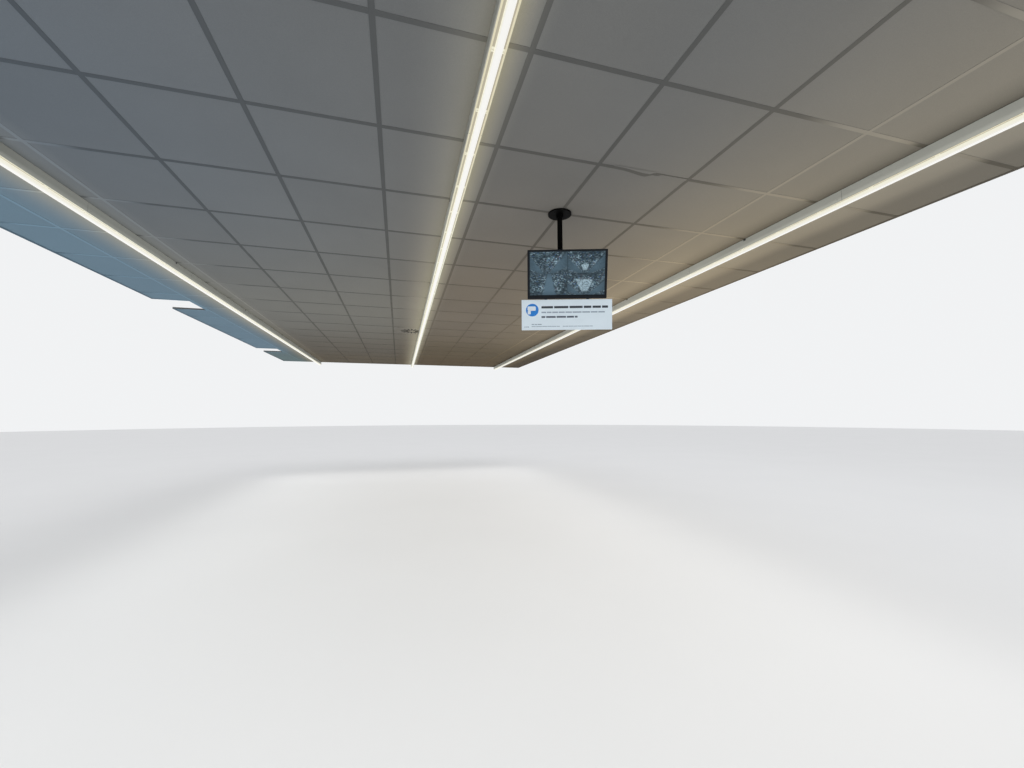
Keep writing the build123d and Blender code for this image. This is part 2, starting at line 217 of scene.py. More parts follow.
def mesh_object(name, shape, finish, smooth=False):
    """A mesh object from a shape, its faces outwards, with its finish."""
    points, quads, tris = shape
    mesh = bpy.data.meshes.new(name)
    mesh.from_pydata(points.tolist(), [], quads.tolist() + tris.tolist())
    if signed_volume(mesh) < 0:
        mesh.flip_normals()
    if smooth:
        mesh.shade_smooth()
        mesh.set_sharp_from_angle(angle=sharpest_soft_edge)
    mesh.materials.append(finish)
    item = bpy.data.objects.new(name, mesh)
    bpy.context.scene.collection.objects.link(item)
    return item


def piece(name, shape, finish, body="ceiling", smooth=False):
    """A piece of the ceiling and the body it rides on."""
    item = mesh_object(name, shape, finish, smooth)
    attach(item, body)
    print(name, len(item.data.polygons), "faces")
    return item

# %% [markdown]
# Sheet metal is a line with a thickness. Real folds could be made with a Solidify modifier,
# but a line that is offset to both sides, with its corners mitred, gives exact walls and
# clean ends. Turned parts are a profile swept round an axis.

# %% Folded, turned and rounded forms


def folded_sheet(line, thickness, low, high):
    """A line of (x, z) points, offset half a thickness to each side, carried along Y.

    At a corner the offset is the sum of both side normals over one plus their product.
    """
    line = np.asarray(line, float)
    steps = np.diff(line, axis=0)
    steps /= np.linalg.norm(steps, axis=1, keepdims=True)
    normals = np.stack([-steps[:, 1], steps[:, 0]], axis=1)
    before = np.concatenate([normals[:1], normals])
    after = np.concatenate([normals, normals[-1:]])
    mitre = (before + after) / (1 + (before * after).sum(axis=1, keepdims=True))
    outer = line + mitre * thickness / 2
    inner = line - mitre * thickness / 2
    ring = np.concatenate([outer, inner[::-1]])
    count = len(ring)
    points = np.empty((2, count, 3))
    points[:, :, [0, 2]] = ring
    points[0, :, 1] = low
    points[1, :, 1] = high
    index = np.arange(2 * count).reshape(2, count)
    ahead = np.roll(index, -1, axis=1)
    walls = np.stack([index[0], ahead[0], ahead[1], index[1]], axis=-1)
    across = np.arange(len(line) - 1)
    end = np.stack([across, across + 1, count - 2 - across, count - 1 - across], axis=-1)
    quads = np.concatenate([walls, end[:, ::-1], end + count])
    return points.reshape(-1, 3), quads, np.zeros((0, 3), int)


def turned(profile, segments=24):
    """A profile of (radius, height) points swept round Z: x = r cos a, y = r sin a."""
    profile = np.asarray(profile, float)
    angle = np.linspace(0, 2 * math.pi, segments, endpoint=False)
    rings = np.empty((len(profile), segments, 3))
    rings[:, :, 0] = profile[:, :1] * np.cos(angle)
    rings[:, :, 1] = profile[:, :1] * np.sin(angle)
    rings[:, :, 2] = profile[:, 1:]
    return skin(rings)


def rounded_outline(width, height, radius, corner_steps=6):
    """Points round a rectangle whose corners are quarter circles, as (x, z) pairs."""
    angle = np.linspace(0, math.pi / 2, corner_steps)
    starts = np.arange(4).reshape(-1, 1) * math.pi / 2
    around = (starts + angle).reshape(-1)
    signs = np.repeat([[1, 1], [-1, 1], [-1, -1], [1, -1]], corner_steps, axis=0)
    middles = signs * [width / 2 - radius, height / 2 - radius]
    return middles + radius * np.stack([np.cos(around), np.sin(around)], axis=1)


def upright_rings(outlines):
    """Rings in planes across Y, from (y, outline) pairs of (x, z) points."""
    rings = np.empty((len(outlines), len(outlines[0][1]), 3))
    for ring, (depth, outline) in zip(rings, outlines):
        ring[:, [0, 2]] = outline
        ring[:, 1] = depth
    return rings


def box_shape(low, high):
    """A closed box between two corners, as two square rings joined by a skin."""
    low, high = np.asarray(low, float), np.asarray(high, float)
    outline = [[low[0], low[2]], [high[0], low[2]], [high[0], high[2]], [low[0], high[2]]]
    return skin(upright_rings([(low[1], outline), (high[1], outline)]))


print("form helpers ready")

# %% [markdown]
# ## Shader helpers
# A material is a small net of nodes. Each helper below makes one node, sets its sockets and
# hands back what the next one needs, so a finish reads as a few lines. Effects that several
# finishes share are node groups: they put out only colours, shades and heights, while each
# finish keeps its own Principled BSDF.

# %% Node helper


def fill(tree, socket, value):
    """An output is linked to the socket; anything else becomes the socket's value."""
    if isinstance(value, bpy.types.NodeSocket):
        tree.links.new(value, socket)
    else:
        socket.default_value = value


def add(tree, kind, sockets=None, **settings):
    """One node: settings are its properties, sockets are values or outputs to link."""
    item = tree.nodes.new(kind)
    for name, value in settings.items():
        setattr(item, name, value)
    for name, value in (sockets or {}).items():
        fill(tree, item.inputs[name], value)
    return item


def maths(tree, operation, first, second=0.0, limit=False):
    """A Math node on one or two values or outputs."""
    sockets = {0: first, 1: second}
    return add(tree, "ShaderNodeMath", sockets, operation=operation, use_clamp=limit).outputs[0]


def times(tree, *factors):
    """The product of all the given values or outputs."""
    product = factors[0]
    for factor in factors[1:]:
        product = maths(tree, "MULTIPLY", product, factor)
    return product


def blend_colour(tree, factor, first, second, way="MIX"):
    """A Mix node on two colours."""
    item = add(tree, "ShaderNodeMix", data_type="RGBA", blend_type=way)
    for name, value in (("Factor", factor), ("A", first), ("B", second)):
        fill(tree, next(s for s in item.inputs if s.name == name and s.enabled), value)
    return next(s for s in item.outputs if s.enabled)


def dimmed(tree, colour, shade):
    """A colour times a shade."""
    return blend_colour(tree, 1.0, colour, shade, "MULTIPLY")


def remap(tree, value, low, high, to_low=0.0, to_high=1.0, smooth=False):
    """A Map Range node, clamped."""
    sockets = {
        "Value": value, "From Min": low, "From Max": high, "To Min": to_low, "To Max": to_high}
    way = "SMOOTHSTEP" if smooth else "LINEAR"
    return add(tree, "ShaderNodeMapRange", sockets, interpolation_type=way).outputs["Result"]


print("node helpers ready")

# %% [markdown]
# Some nets come back in every finish: the place of a point in the object's own coordinates,
# the way its face looks, noise at that place, and a bump made from a height.

# %% Places, noise and bump


def own_place(tree):
    """The point's own place in the object's coordinates."""
    return add(tree, "ShaderNodeTexCoord").outputs["Object"]


def place_of(tree):
    """The point's own place as three numbers."""
    return add(tree, "ShaderNodeSeparateXYZ", {0: own_place(tree)}).outputs


def facing_of(tree):
    """The upward share of the face's direction: 1 for a floor, -1 for a ceiling."""
    normal = add(tree, "ShaderNodeNewGeometry").outputs["Normal"]
    return add(tree, "ShaderNodeSeparateXYZ", {0: normal}).outputs[2]


def noise(tree, where, scale, detail):
    """Soft noise between 0 and 1, a half on average."""
    sockets = {"Vector": where, "Scale": scale, "Detail": detail}
    return add(tree, "ShaderNodeTexNoise", sockets).outputs[0]


def finish_of(name, colour, roughness, metallic=0.0):
    """A material with its Principled BSDF, ready for links."""
    material = bpy.data.materials.new(name)
    material.use_nodes = True
    tree = material.node_tree
    shader = tree.nodes["Principled BSDF"]
    shader.inputs["Base Color"].default_value = colour
    shader.inputs["Roughness"].default_value = roughness
    shader.inputs["Metallic"].default_value = metallic
    return material, tree, shader


def bump(tree, shader, height, distance, strength=1.0):
    """Height to the shader's normal, through a Bump node."""
    sockets = {"Height": height, "Distance": distance, "Strength": strength}
    item = add(tree, "ShaderNodeBump", sockets)
    tree.links.new(item.outputs[0], shader.inputs["Normal"])


print("finish helpers ready")

# %% [markdown]
# ### Shared effects
# Four effects come back in several finishes. *Cloudiness* is the faint unevenness of any
# painted or pressed surface. *Grain* is its fine tooth, seen as bump. *Handling* is the
# patchy gloss that dust and fingers leave. *Spangle* is the crystal pattern of zinc. Each
# group has named inputs, so a finish sets its own scale and strength.

# %% Group maker


def effect_group(name, inputs, outputs, kind="Float"):
    """A node group with float inputs (name, default) and outputs of one kind."""
    tree = bpy.data.node_groups.new(name, "ShaderNodeTree")
    for label, default in inputs:
        socket = tree.interface.new_socket(label, in_out="INPUT", socket_type="NodeSocketFloat")
        socket.default_value = default
    for label in outputs:
        tree.interface.new_socket(label, in_out="OUTPUT", socket_type=f"NodeSocket{kind}")
    given = tree.nodes.new("NodeGroupInput").outputs
    return tree, given, tree.nodes.new("NodeGroupOutput").inputs


def use(tree, group, output, **sockets):
    """One effect placed in a material, with its own values."""
    return add(tree, "ShaderNodeGroup", sockets, node_tree=group).outputs[output]


tree, given, result = effect_group(
    "cloudiness", [("Scale", 3.0), ("Amount", 0.06)], ["Shade"])
wide = noise(tree, own_place(tree), given["Scale"], 4.0)
swing = times(tree, maths(tree, "SUBTRACT", wide, 0.5), 2.0, given["Amount"])
tree.links.new(maths(tree, "ADD", swing, 1.0), result["Shade"])
cloudiness = tree

tree, given, result = effect_group("grain", [("Scale", 900.0)], ["Height"])
tree.links.new(noise(tree, own_place(tree), given["Scale"], 2.0), result["Height"])
grain = tree

tree, given, result = effect_group(
    "handling", [("Scale", 6.0), ("Clean", 0.35), ("Dusty", 0.55)], ["Roughness"])
patch = noise(tree, own_place(tree), given["Scale"], 6.0)
rough = remap(tree, patch, 0.35, 0.65, given["Clean"], given["Dusty"])
tree.links.new(rough, result["Roughness"])
handling = tree

tree, given, result = effect_group("spangle", [("Scale", 70.0)], ["Shade", "Roughness"])
flake = add(tree, "ShaderNodeTexVoronoi", {"Vector": own_place(tree), "Scale": given["Scale"]})
value = add(tree, "ShaderNodeSeparateColor", {0: flake.outputs["Color"]}).outputs[0]
tree.links.new(remap(tree, value, 0, 1, 0.86, 1.1), result["Shade"])
tree.links.new(remap(tree, value, 0, 1, 0.32, 0.5), result["Roughness"])
spangle = tree
print("shared effects", [group.name for group in (cloudiness, grain, handling, spangle)])

# %% [markdown]
# ### The hall's light, painted
# The ceiling is one colour, but its light is not: it is cool along the notched side, warm
# along the other, dim and brown at the far end, and each light line washes the ceiling
# beside it. Lamps could imitate this, but only for one view. So this light and shade is
# painted into the colour: one group works out the painted tone at a place, and tiles, bars
# and the air diffuser all take it from there.

# %% Tones
# Apart from the plain tone, these colours are painted light and shade: daylight by the windows, warm light by the
# wall, the far rows, the light lost in the last rows and the wash beside the lights.
tone_plain = (0.139, 0.142, 0.139, 1)
tone_cool = (0.110, 0.134, 0.160, 1)
tone_strip = (0.125, 0.205, 0.270, 1)
tone_warm = (0.310, 0.265, 0.185, 1)
tone_far = (0.192, 0.178, 0.138, 1)
tone_end = (0.098, 0.084, 0.062, 1)
tone_far_right = (0.177, 0.130, 0.074, 1)
tone_end_right = (0.092, 0.066, 0.030, 1)
tone_lit = (0.160, 0.147, 0.108, 1)
lost_light = (0.88, 0.80, 0.64, 1)
left, right, near = hall_low.x, hall_high.x, hall_low.y
light_half = (light_boxes["centre"][1].x - light_boxes["centre"][0].x) / 2
light_x = {name: centre_of(f"light_housing_{name}").x for name in lights}
print("lights at", [round(value, 3) for value in light_x.values()])

# %% [markdown]
# Each change of tone is a smooth step along one axis: a colour gives way to the next one
# between two places, which are given in metres from the hall's edges. The wash beside a
# light is gain * (1 - distance / reach) ** power. Every side of every light has its own.

# %% Steps, bands and wash
# For each side of a light, the left one first: gain, reach, power, more gain down the hall.
wash_sides = {
    "window_side": ((2.2, 0.42, 1.6, 0.0), (0.5, 0.24, 1.2, 0.0)),
    "centre": ((1.0, 0.40, 2.3, 0.85), (2.3, 0.24, 2.5, 0.0)),
    "wall_side": ((-0.3, 0.24, 1.2, 0.0), (0.5, 0.42, 1.0, 0.2)),
}


def smooth_step(tree, place, low, high, to_low=0.0, to_high=1.0):
    """From one value to another while a place runs from low to high."""
    return remap(tree, place, low, high, to_low, to_high, smooth=True)


def step_blend(tree, place, low, high, first, second, share=1.0):
    """From one colour to another while a place runs from low to high."""
    return blend_colour(tree, smooth_step(tree, place, low, high, 0.0, share), first, second)


def band(tree, place, start, full, last, end, height):
    """A height between full and last, falling to nought at start and end."""
    rising = smooth_step(tree, place, start, full, 0.0, height)
    return maths(tree, "MINIMUM", rising, smooth_step(tree, place, last, end, height, 0.0))


def light_wash(tree, x, deep):
    """Painted light that spills beside the lines, as the formula above gives it for each side."""
    total = 0.0
    for name, sides in wash_sides.items():
        middle = light_x[name]
        for way, (gain, reach, power, deeper) in zip((-1, 1), sides):
            edge = middle + way * light_half
            falling = remap(tree, x, edge, middle + way * reach, 1.0, 0.0)
            on_side = remap(tree, x, middle, middle + way * 0.1 * mm, 0.0, gain)
            growth = maths(tree, "ADD", times(tree, deep, deeper), 1.0)
            share = times(tree, maths(tree, "POWER", falling, power), on_side, growth)
            total = maths(tree, "ADD", total, share)
    return total


print("wash beside", len(wash_sides), "lights")

# %% [markdown]
# The net starts with the plain tone and lays one painted step over the other: cool daylight
# on the left, warm light on the right, then the far rows on both sides of the centre light,
# the strip of cut tiles, and the last rows, where light is lost. The painted wash of light
# and the painted shade at the right edge come last, as factors.

# %% Hall tone
tree, _, result = effect_group("painted_hall_light", [], ["Tone"], "Color")
x, y, _ = place_of(tree)
tone = step_blend(tree, x, left + 3.8, left + 0.9, tone_plain, tone_cool)
down_hall = smooth_step(tree, y, near + 0.7, near + 3.2, 0.5, 1.0)
on_right_side = smooth_step(tree, x, right - 2.6, right - 0.8)
tone = blend_colour(tree, times(tree, down_hall, on_right_side), tone, tone_warm)
tone_left = step_blend(tree, y, near + 1.6, near + 6.0, tone, tone_far, 0.6)
tone_left = step_blend(tree, y, near + 5.6, near + 9.6, tone_left, tone_end, 0.95)
tone_right = step_blend(tree, y, near + 0.6, near + 4.6, tone, tone_far_right, 0.6)
tone_right = step_blend(tree, y, near + 5.6, near + 9.6, tone_right, tone_end_right, 0.95)
tone = step_blend(tree, x, left + 2.75, left + 3.85, tone_left, tone_right)
tone = step_blend(tree, x, left + 0.90, left + 0.35, tone, tone_strip)
last_rows = smooth_step(tree, y, near + 9.3, near + 11.0)
tone = blend_colour(tree, last_rows, tone, lost_light, "MULTIPLY")
wash = light_wash(tree, x, smooth_step(tree, y, near + 1.6, near + 5.6))
tone = blend_colour(tree, maths(tree, "MULTIPLY", wash, 0.6, True), tone, tone_lit)
# Painted shade along the right edge, and painted light thrown back near the wall-side light.
at_right_edge = smooth_step(tree, x, right - 0.42, right - 0.24, 1.0, 0.66)
thrown_back = times(tree, smooth_step(tree, x, right - 1.5, right - 1.0),
                    band(tree, y, near + 2.0, near + 3.9, near + 4.6, near + 6.2, 0.36))
shade = times(
    tree, maths(tree, "ADD", thrown_back, 1.0), at_right_edge, maths(tree, "ADD", wash, 1.0))
tree.links.new(dimmed(tree, tone, shade), result["Tone"])
painted_hall_light = tree
print("hall tone ready")

# %% [markdown]
# ### Mineral tiles
# The tiles are pressed mineral wool with a thin painted fleece on the face. No two are the
# same tone, so each grid square has a random value: the square's number is its place divided
# by the module. The tooth of the fleece is fine noise, as bump. From above the raw back
# shows, brown and coarse, so the face's direction picks between the two.

# %% Tile finish
tile_back = (0.270, 0.235, 0.180, 1)
tile_finish, tree, shader = finish_of("mineral_tile", tone_plain, 0.92)
x, y, _ = place_of(tree)
column = maths(tree, "FLOOR", maths(tree, "DIVIDE", maths(tree, "SUBTRACT", x, first_x), module))
row = maths(tree, "FLOOR", maths(tree, "DIVIDE", maths(tree, "SUBTRACT", y, first_y), module))
square = add(tree, "ShaderNodeCombineXYZ", {0: column, 1: row}).outputs[0]
lot = add(tree, "ShaderNodeTexWhiteNoise", {"Vector": square}, noise_dimensions="3D")
speck = remap(tree, noise(tree, own_place(tree), 420.0, 3.0), 0.40, 0.62, 0.95, 1.03)
shade = times(
    tree, remap(tree, lot.outputs["Value"], 0, 1, 0.965, 1.035),
    use(tree, cloudiness, "Shade", Scale=2.2, Amount=0.06), speck)
upward = maths(tree, "GREATER_THAN", facing_of(tree), 0.5)
# The face takes the hall's painted light and shade, times its own tone from square to square.
colour = dimmed(tree, use(tree, painted_hall_light, "Tone"), shade)
colour = blend_colour(tree, upward, colour, tile_back)
tree.links.new(colour, shader.inputs["Base Color"])
pits = add(tree, "ShaderNodeTexVoronoi", {"Vector": own_place(tree), "Scale": 260.0})
tooth = maths(tree, "ADD", use(tree, grain, "Height", Scale=700.0), pits.outputs["Distance"])
bump(tree, shader, tooth, 0.6 * mm, 0.5)
print("tile finish ready")

# %% [markdown]
# ### Paint
# Most metal here is painted. Sprayed paint and coil paint look alike: faint cloudiness,
# patchy gloss where dust has settled, and a fine bump. One function mixes them, and each
# finish gives its colour, its gloss clean and dusty, and how strongly it mirrors. The black
# powder coat of the screen's pole needs no more than that.

# %% Paint


def paint(name, colour, clean, dusty, cloud=0.05, mirror=0.5):
    """Sprayed or coil paint: faint cloudiness, patchy gloss and a fine orange-peel bump."""
    material, tree, shader = finish_of(name, colour, clean)
    shader.inputs["Specular IOR Level"].default_value = mirror
    tinted = dimmed(tree, colour, use(tree, cloudiness, "Shade", Scale=5.0, Amount=cloud))
    tree.links.new(tinted, shader.inputs["Base Color"])
    rough = use(tree, handling, "Roughness", Scale=9.0, Clean=clean, Dusty=dusty)
    tree.links.new(rough, shader.inputs["Roughness"])
    bump(tree, shader, use(tree, grain, "Height", Scale=1500.0), 0.1 * mm, 0.5)
    return material, tree, shader, tinted


black_film = (0.002, 0.002, 0.002, 1)
# A near-black for real black parts, as the seams and the slot frames, and for painted shade: the runner slots, the
# screen's vents, the diffuser's leaning vanes and the air box's inside.
near_black_and_shade = (0.010, 0.010, 0.010, 1)
black_finish = paint("black_powder_coat", black_film, 0.50, 0.66, 0.2, 0.03)[0]
black_and_shade_finish = paint("black_parts_and_painted_shade", near_black_and_shade, 0.7, 0.9, 0.1, 0.1)[0]
print("black paints ready")

# %% [markdown]
# ### Painted bars and angles
# The T-bars are coil-painted steel in a dull grey film. Over most of the ceiling they look a
# third darker than the tiles, but beside the light lines their faces catch the light and are
# as bright or brighter, so their share of the hall's painted light gets painted highlights
# in bands along the lines. Above the tiles, where the hall's painted light doesn't reach,
# the film's own grey shows.

# %% Grid paint
bar_grey = (0.098, 0.102, 0.101, 1)
bar_share = 0.66
# Each painted highlight band: the light it runs along, its start, full, last and end from there, its height.
bar_highlight_bands = [
    ("window_side", -0.90, -0.70, -0.12, -0.05, 0.68),
    ("window_side", 0.05, 0.10, 0.25, 0.45, 0.68),
    ("wall_side", -0.95, -0.60, -0.17, -0.07, 0.66),
    ("wall_side", 0.05, 0.09, 0.40, 0.52, 0.34),
]


def band_beside(tree, x, name, *places, height):
    """A band whose places are counted from the middle of a light."""
    return band(tree, x, *[light_x[name] + place for place in places], height)


bar_finish, tree, shader, tinted = paint("grid_paint", bar_grey, 0.44, 0.60, 0.06, 0.02)
x, y, z = place_of(tree)
# Painted highlights: the bands, and deeper in the hall the two beside the centre light, raise the bars' share of
# the painted light.
shade = bar_share
for name, *places, height in bar_highlight_bands:
    shade = maths(tree, "ADD", shade, band_beside(tree, x, name, *places, height=height))
middle = light_x["centre"]
highlight_by_centre = band_beside(tree, x, "centre", -0.40, -0.22, -0.08, -0.04, height=0.50)
highlight_beyond_centre = smooth_step(tree, x, middle - 0.1, middle + 0.5, 0.0, 0.19)
deep = smooth_step(tree, y, near + 2.6, near + 5.1)
more = times(tree, deep, maths(tree, "ADD", highlight_by_centre, highlight_beyond_centre))
shown = dimmed(tree, use(tree, painted_hall_light, "Tone"), maths(tree, "ADD", shade, more))
under = maths(tree, "LESS_THAN", z, ceiling_z + 0.3 * mm)
tree.links.new(blend_colour(tree, under, tinted, shown), shader.inputs["Base Color"])
print("grid paint ready")

# %% [markdown]
# ### The lights' housings
# The housings have a paler grey-green paint. Their sides lie in shade high up, under the
# ceiling, more so near the hall's near end and on its left side, and the lips under the
# cover are seen in the cover's warm light, brighter down the hall. Both are painted: the
# lips are chosen by height and take a painted warm light, and the sides a painted shade by
# height and by the place along and across the hall.

# %% Housing paint
housing_grey = (0.620, 0.630, 0.570, 1)
painted_lip_light = (0.800, 0.740, 0.540, 1)
painted_lip_light_far = (0.980, 0.980, 0.830, 1)
housing_finish, tree, shader, tinted = paint("housing_paint", housing_grey, 0.34, 0.52)
x, y, z = place_of(tree)
housing_bottom = light_boxes["centre"][0].z
lip = maths(tree, "LESS_THAN", z, housing_bottom + 0.8 * mm)
half_way = {name: (light_x[name] + light_x["centre"]) / 2 for name in lights}
by_window = maths(tree, "LESS_THAN", x, half_way["window_side"])
at_wall = maths(tree, "GREATER_THAN", x, half_way["wall_side"])
# Painted shade on the sides: darker high up, near the near end and on the window side.
shaded = smooth_step(tree, y, near + 1.6, near + 3.0, 0.52, 0.90)
shaded = maths(tree, "MAXIMUM", shaded, times(tree, at_wall, 0.78))
shaded = times(tree, shaded, remap(tree, by_window, 0, 1, 1.0, 0.66))
lower = remap(tree, by_window, 0, 1, 1.0, 0.74)
upper = remap(tree, z, housing_bottom + 16 * mm, housing_bottom + 32 * mm, lower, shaded)
lip_light_tone = step_blend(tree, y, near + 1.3, near + 3.6, painted_lip_light, painted_lip_light_far)
side_tone = dimmed(tree, tinted, upper)
tree.links.new(blend_colour(tree, lip, side_tone, lip_light_tone), shader.inputs["Base Color"])
print("housing paint ready")

# %% [markdown]
# ### The diffuser's paint
# The panel's paint takes the hall's painted light and shade on its flat faces. Its vanes
# stand on a slant and catch no light from the room, so a face that leans is painted dark, as
# shade.

# %% Swirl paint
swirl_grey = (0.150, 0.152, 0.142, 1)
flattest_vane = 0.93
swirl_finish, tree, shader, tinted = paint("swirl_paint", swirl_grey, 0.40, 0.56, 0.05, 0.05)
_, _, z = place_of(tree)
under = maths(tree, "LESS_THAN", z, ceiling_z + 1.4 * mm)
shown = blend_colour(tree, under, tinted, use(tree, painted_hall_light, "Tone"))
flatness = maths(tree, "ABSOLUTE", facing_of(tree))
slanted = maths(tree, "LESS_THAN", flatness, flattest_vane)
tree.links.new(blend_colour(tree, slanted, shown, near_black_and_shade), shader.inputs["Base Color"])
print("swirl paint ready")

# %% [markdown]
# ### Zinc, spring steel and moulded plastic
# Hangers and the air box are galvanised sheet: a metal with a crystal pattern that changes
# its tone and gloss from flake to flake. The air box's inside faces are painted black as the
# shade inside it, which is what shows, dark, between the vanes of the diffuser. Springs are
# dark bare steel.
# The screen's case and the lights' end caps are moulded plastic with a fine etched grain.

# %% Metal and plastic finishes


def zinc(name, tone, scale):
    """Galvanised steel: metallic, with the spangle group on colour and roughness."""
    colour = (tone, tone * 1.01, tone * 1.02, 1)
    material, tree, shader = finish_of(name, colour, 0.4, 1.0)
    shade = use(tree, spangle, "Shade", Scale=scale)
    tree.links.new(dimmed(tree, colour, shade), shader.inputs["Base Color"])
    rough = use(tree, spangle, "Roughness", Scale=scale)
    tree.links.new(rough, shader.inputs["Roughness"])
    bump(tree, shader, use(tree, grain, "Height", Scale=1100.0), 0.1 * mm, 0.3)
    return material


def shade_painted_inside(material, middle):
    """Painted shade: black on every face that looks towards a middle, the finish as it was outside."""
    tree = material.node_tree
    shader = tree.nodes["Principled BSDF"]
    inward = add(tree, "ShaderNodeVectorMath", {0: tuple(middle), 1: own_place(tree)},
                 operation="SUBTRACT").outputs[0]
    normal = add(tree, "ShaderNodeNewGeometry").outputs["Normal"]
    towards = add(tree, "ShaderNodeVectorMath", {0: inward, 1: normal}, operation="DOT_PRODUCT")
    inside = maths(tree, "GREATER_THAN", towards.outputs["Value"], 0.0)
    outside = shader.inputs["Base Color"].links[0].from_socket
    tree.links.new(blend_colour(tree, inside, outside, near_black_and_shade), shader.inputs["Base Color"])
    tree.links.new(maths(tree, "SUBTRACT", 1.0, inside), shader.inputs["Metallic"])
    return material


def moulded(name, colour, rough_low, rough_high, mirror=0.5):
    """Moulded plastic: etched grain as bump and a little patchiness in the gloss."""
    material, tree, shader = finish_of(name, colour, rough_low)
    shader.inputs["Specular IOR Level"].default_value = mirror
    shade = use(tree, cloudiness, "Shade", Scale=8.0, Amount=0.06)
    tree.links.new(dimmed(tree, colour, shade), shader.inputs["Base Color"])
    rough = use(tree, handling, "Roughness", Scale=12.0, Clean=rough_low, Dusty=rough_high)
    tree.links.new(rough, shader.inputs["Roughness"])
    bump(tree, shader, use(tree, grain, "Height", Scale=2200.0), 0.1 * mm, 0.5)
    return material


sheet_zinc = zinc("galvanised_sheet", 0.50, 60.0)
box_zinc = shade_painted_inside(zinc("air_box_shade_inside", 0.50, 60.0), centre_of("plenum_box"))
screw_zinc = zinc("zinc_plated", 0.58, 400.0)
spring_finish = zinc("spring_steel", 0.10, 500.0)
cap_finish = moulded("end_cap_plastic", (0.34, 0.34, 0.30, 1), 0.4, 0.6)
case_finish = moulded("screen_case_plastic", (0.008, 0.010, 0.013, 1), 0.32, 0.55, 0.12)
board_finish = moulded("board_sheet", (0.640, 0.735, 0.800, 1), 0.28, 0.33)
print("metal and plastic finishes ready")

# %% [markdown]
# ### Dressing the nodes
# Each node names its record slot, so one table gives every carried-over node its finish.

# %% Finishes on the nodes
finish_for_slot = {
    "grid_bar": bar_finish, "mineral_tile": tile_finish, "wall_angle": bar_finish,
    "galvanised": sheet_zinc, "light_housing": housing_finish, "opal_cover": cap_finish,
    "light_cap": cap_finish, "saddle": spring_finish, "swirl_paint": swirl_finish,
    "black_paint": black_finish, "screen_plastic": case_finish, "screen_glass": case_finish,
    "board": board_finish,
}
for subpart in frame["record"]["subparts"]:
    mesh = nodes[subpart["node"]].data
    mesh.materials.clear()
    mesh.materials.append(finish_for_slot[subpart["material_slot"]])
nodes["plenum_box"].data.materials[0] = box_zinc

# %% [markdown]
# ## The light covers
# Seen from below, each light line is a bright core between two beige bands, and a cross
# rib bridges the bands where two covers meet, every third of a metre. An extruded curve
# could make the section, but the ribs need the section to change along the way. So the
# cover is a grid: one direction goes round the section, the other along the light, and
# near each joint the wings drop to form the rib. How bright each point is, is stored
# with the mesh as an attribute, which the material reads.

# %% Cover shape
cover_pitch = 0.333
joint_gap = 0.4 * mm
rib_length = 11.0 * mm
rib_drop = 1.3 * mm
rib_glow = 0.60
cover_top = 2.0 * mm
rib_half = 15.0 * mm
rib_edge = 5.5 * mm
wing_shown = 25.8 * mm
light_shelf = light_boxes["centre"][0].z + 1.5 * mm


def cover_section(low, high):
    """The section's points (x, z) and glow, from the cover's box: face, edge, side, wing."""
    half = (high.x - low.x) / 2
    face = low.z
    flat = rib_half - rib_edge
    bend = np.linspace(0, math.pi / 2, 6)
    edge_x = flat + rib_edge * np.sin(bend)
    edge_z = face + rib_edge * (1 - np.cos(bend))
    wing_x = np.array([rib_half + 0.4 * mm, rib_half + 4 * mm, wing_shown, half - 1 * mm])
    wing_glow = np.array([0.34, 0.20, 0.20, 0.20])
    x = np.concatenate([[0, flat / 2], edge_x, [rib_half, rib_half], wing_x, [half]])
    side_z = [(face + light_shelf) / 2, light_shelf]
    wing_z = np.full(4, light_shelf)
    z = np.concatenate([[face, face], edge_z, side_z, wing_z, [light_shelf + cover_top]])
    glow = np.concatenate([[1.0, 1.0], np.linspace(1.0, 0.78, 6), [0.74, 0.64], wing_glow, [0.0]])
    both_x = np.concatenate([x, -x[:0:-1]])
    return both_x, np.concatenate([z, z[:0:-1]]), np.concatenate([glow, glow[:0:-1]])


print("shelf", round(light_shelf, 4), "pitch", cover_pitch)

# %% [markdown]
# The stations along one cover are close together at its ends, where the rib's sides are
# steep, and far apart in between.

# %% Covers


def light_cover(name):
    """The section carried along Y through every cover of one light, gaps left between."""
    low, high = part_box(f"light_diffuser_{name}")
    count = round((high.y - low.y) / cover_pitch)
    length = (high.y - low.y) / count
    x, z, glow = cover_section(low, high)
    ends = np.array([0, rib_length, rib_length + 0.5 * mm])
    stations = np.concatenate([joint_gap / 2 + ends, (length - joint_gap / 2 - ends)[::-1]])
    on_rib = np.array([1, 1, 0, 0, 1, 1]).reshape(-1, 1)
    wing = (np.abs(x) > rib_half) & (np.abs(x) <= wing_shown) & (z < light_shelf + 0.1 * mm)
    rings = np.empty((len(stations), len(x), 3))
    rings[:, :, 0] = x + (low.x + high.x) / 2
    rings[:, :, 1] = stations.reshape(-1, 1) + low.y
    rings[:, :, 2] = z - on_rib * wing * rib_drop
    bright = np.maximum(glow + 0 * on_rib, on_rib * wing * rib_glow)
    values = np.concatenate([bright.reshape(-1), bright[[0, -1]].mean(axis=1)])
    starts = np.arange(count).reshape(-1, 1) * [0, length, 0]
    return repeated(skin(rings), starts), np.tile(values, count)


print("cover maker ready")

# %% [markdown]
# The lit cover's finish turns the stored glow into light through a colour ramp: dark under
# the housing, warm and dim on the wings, bright on the core. Down the hall the wings are
# seen at a flat angle and look brighter, so a little painted light is added to what doesn't
# glow fully.

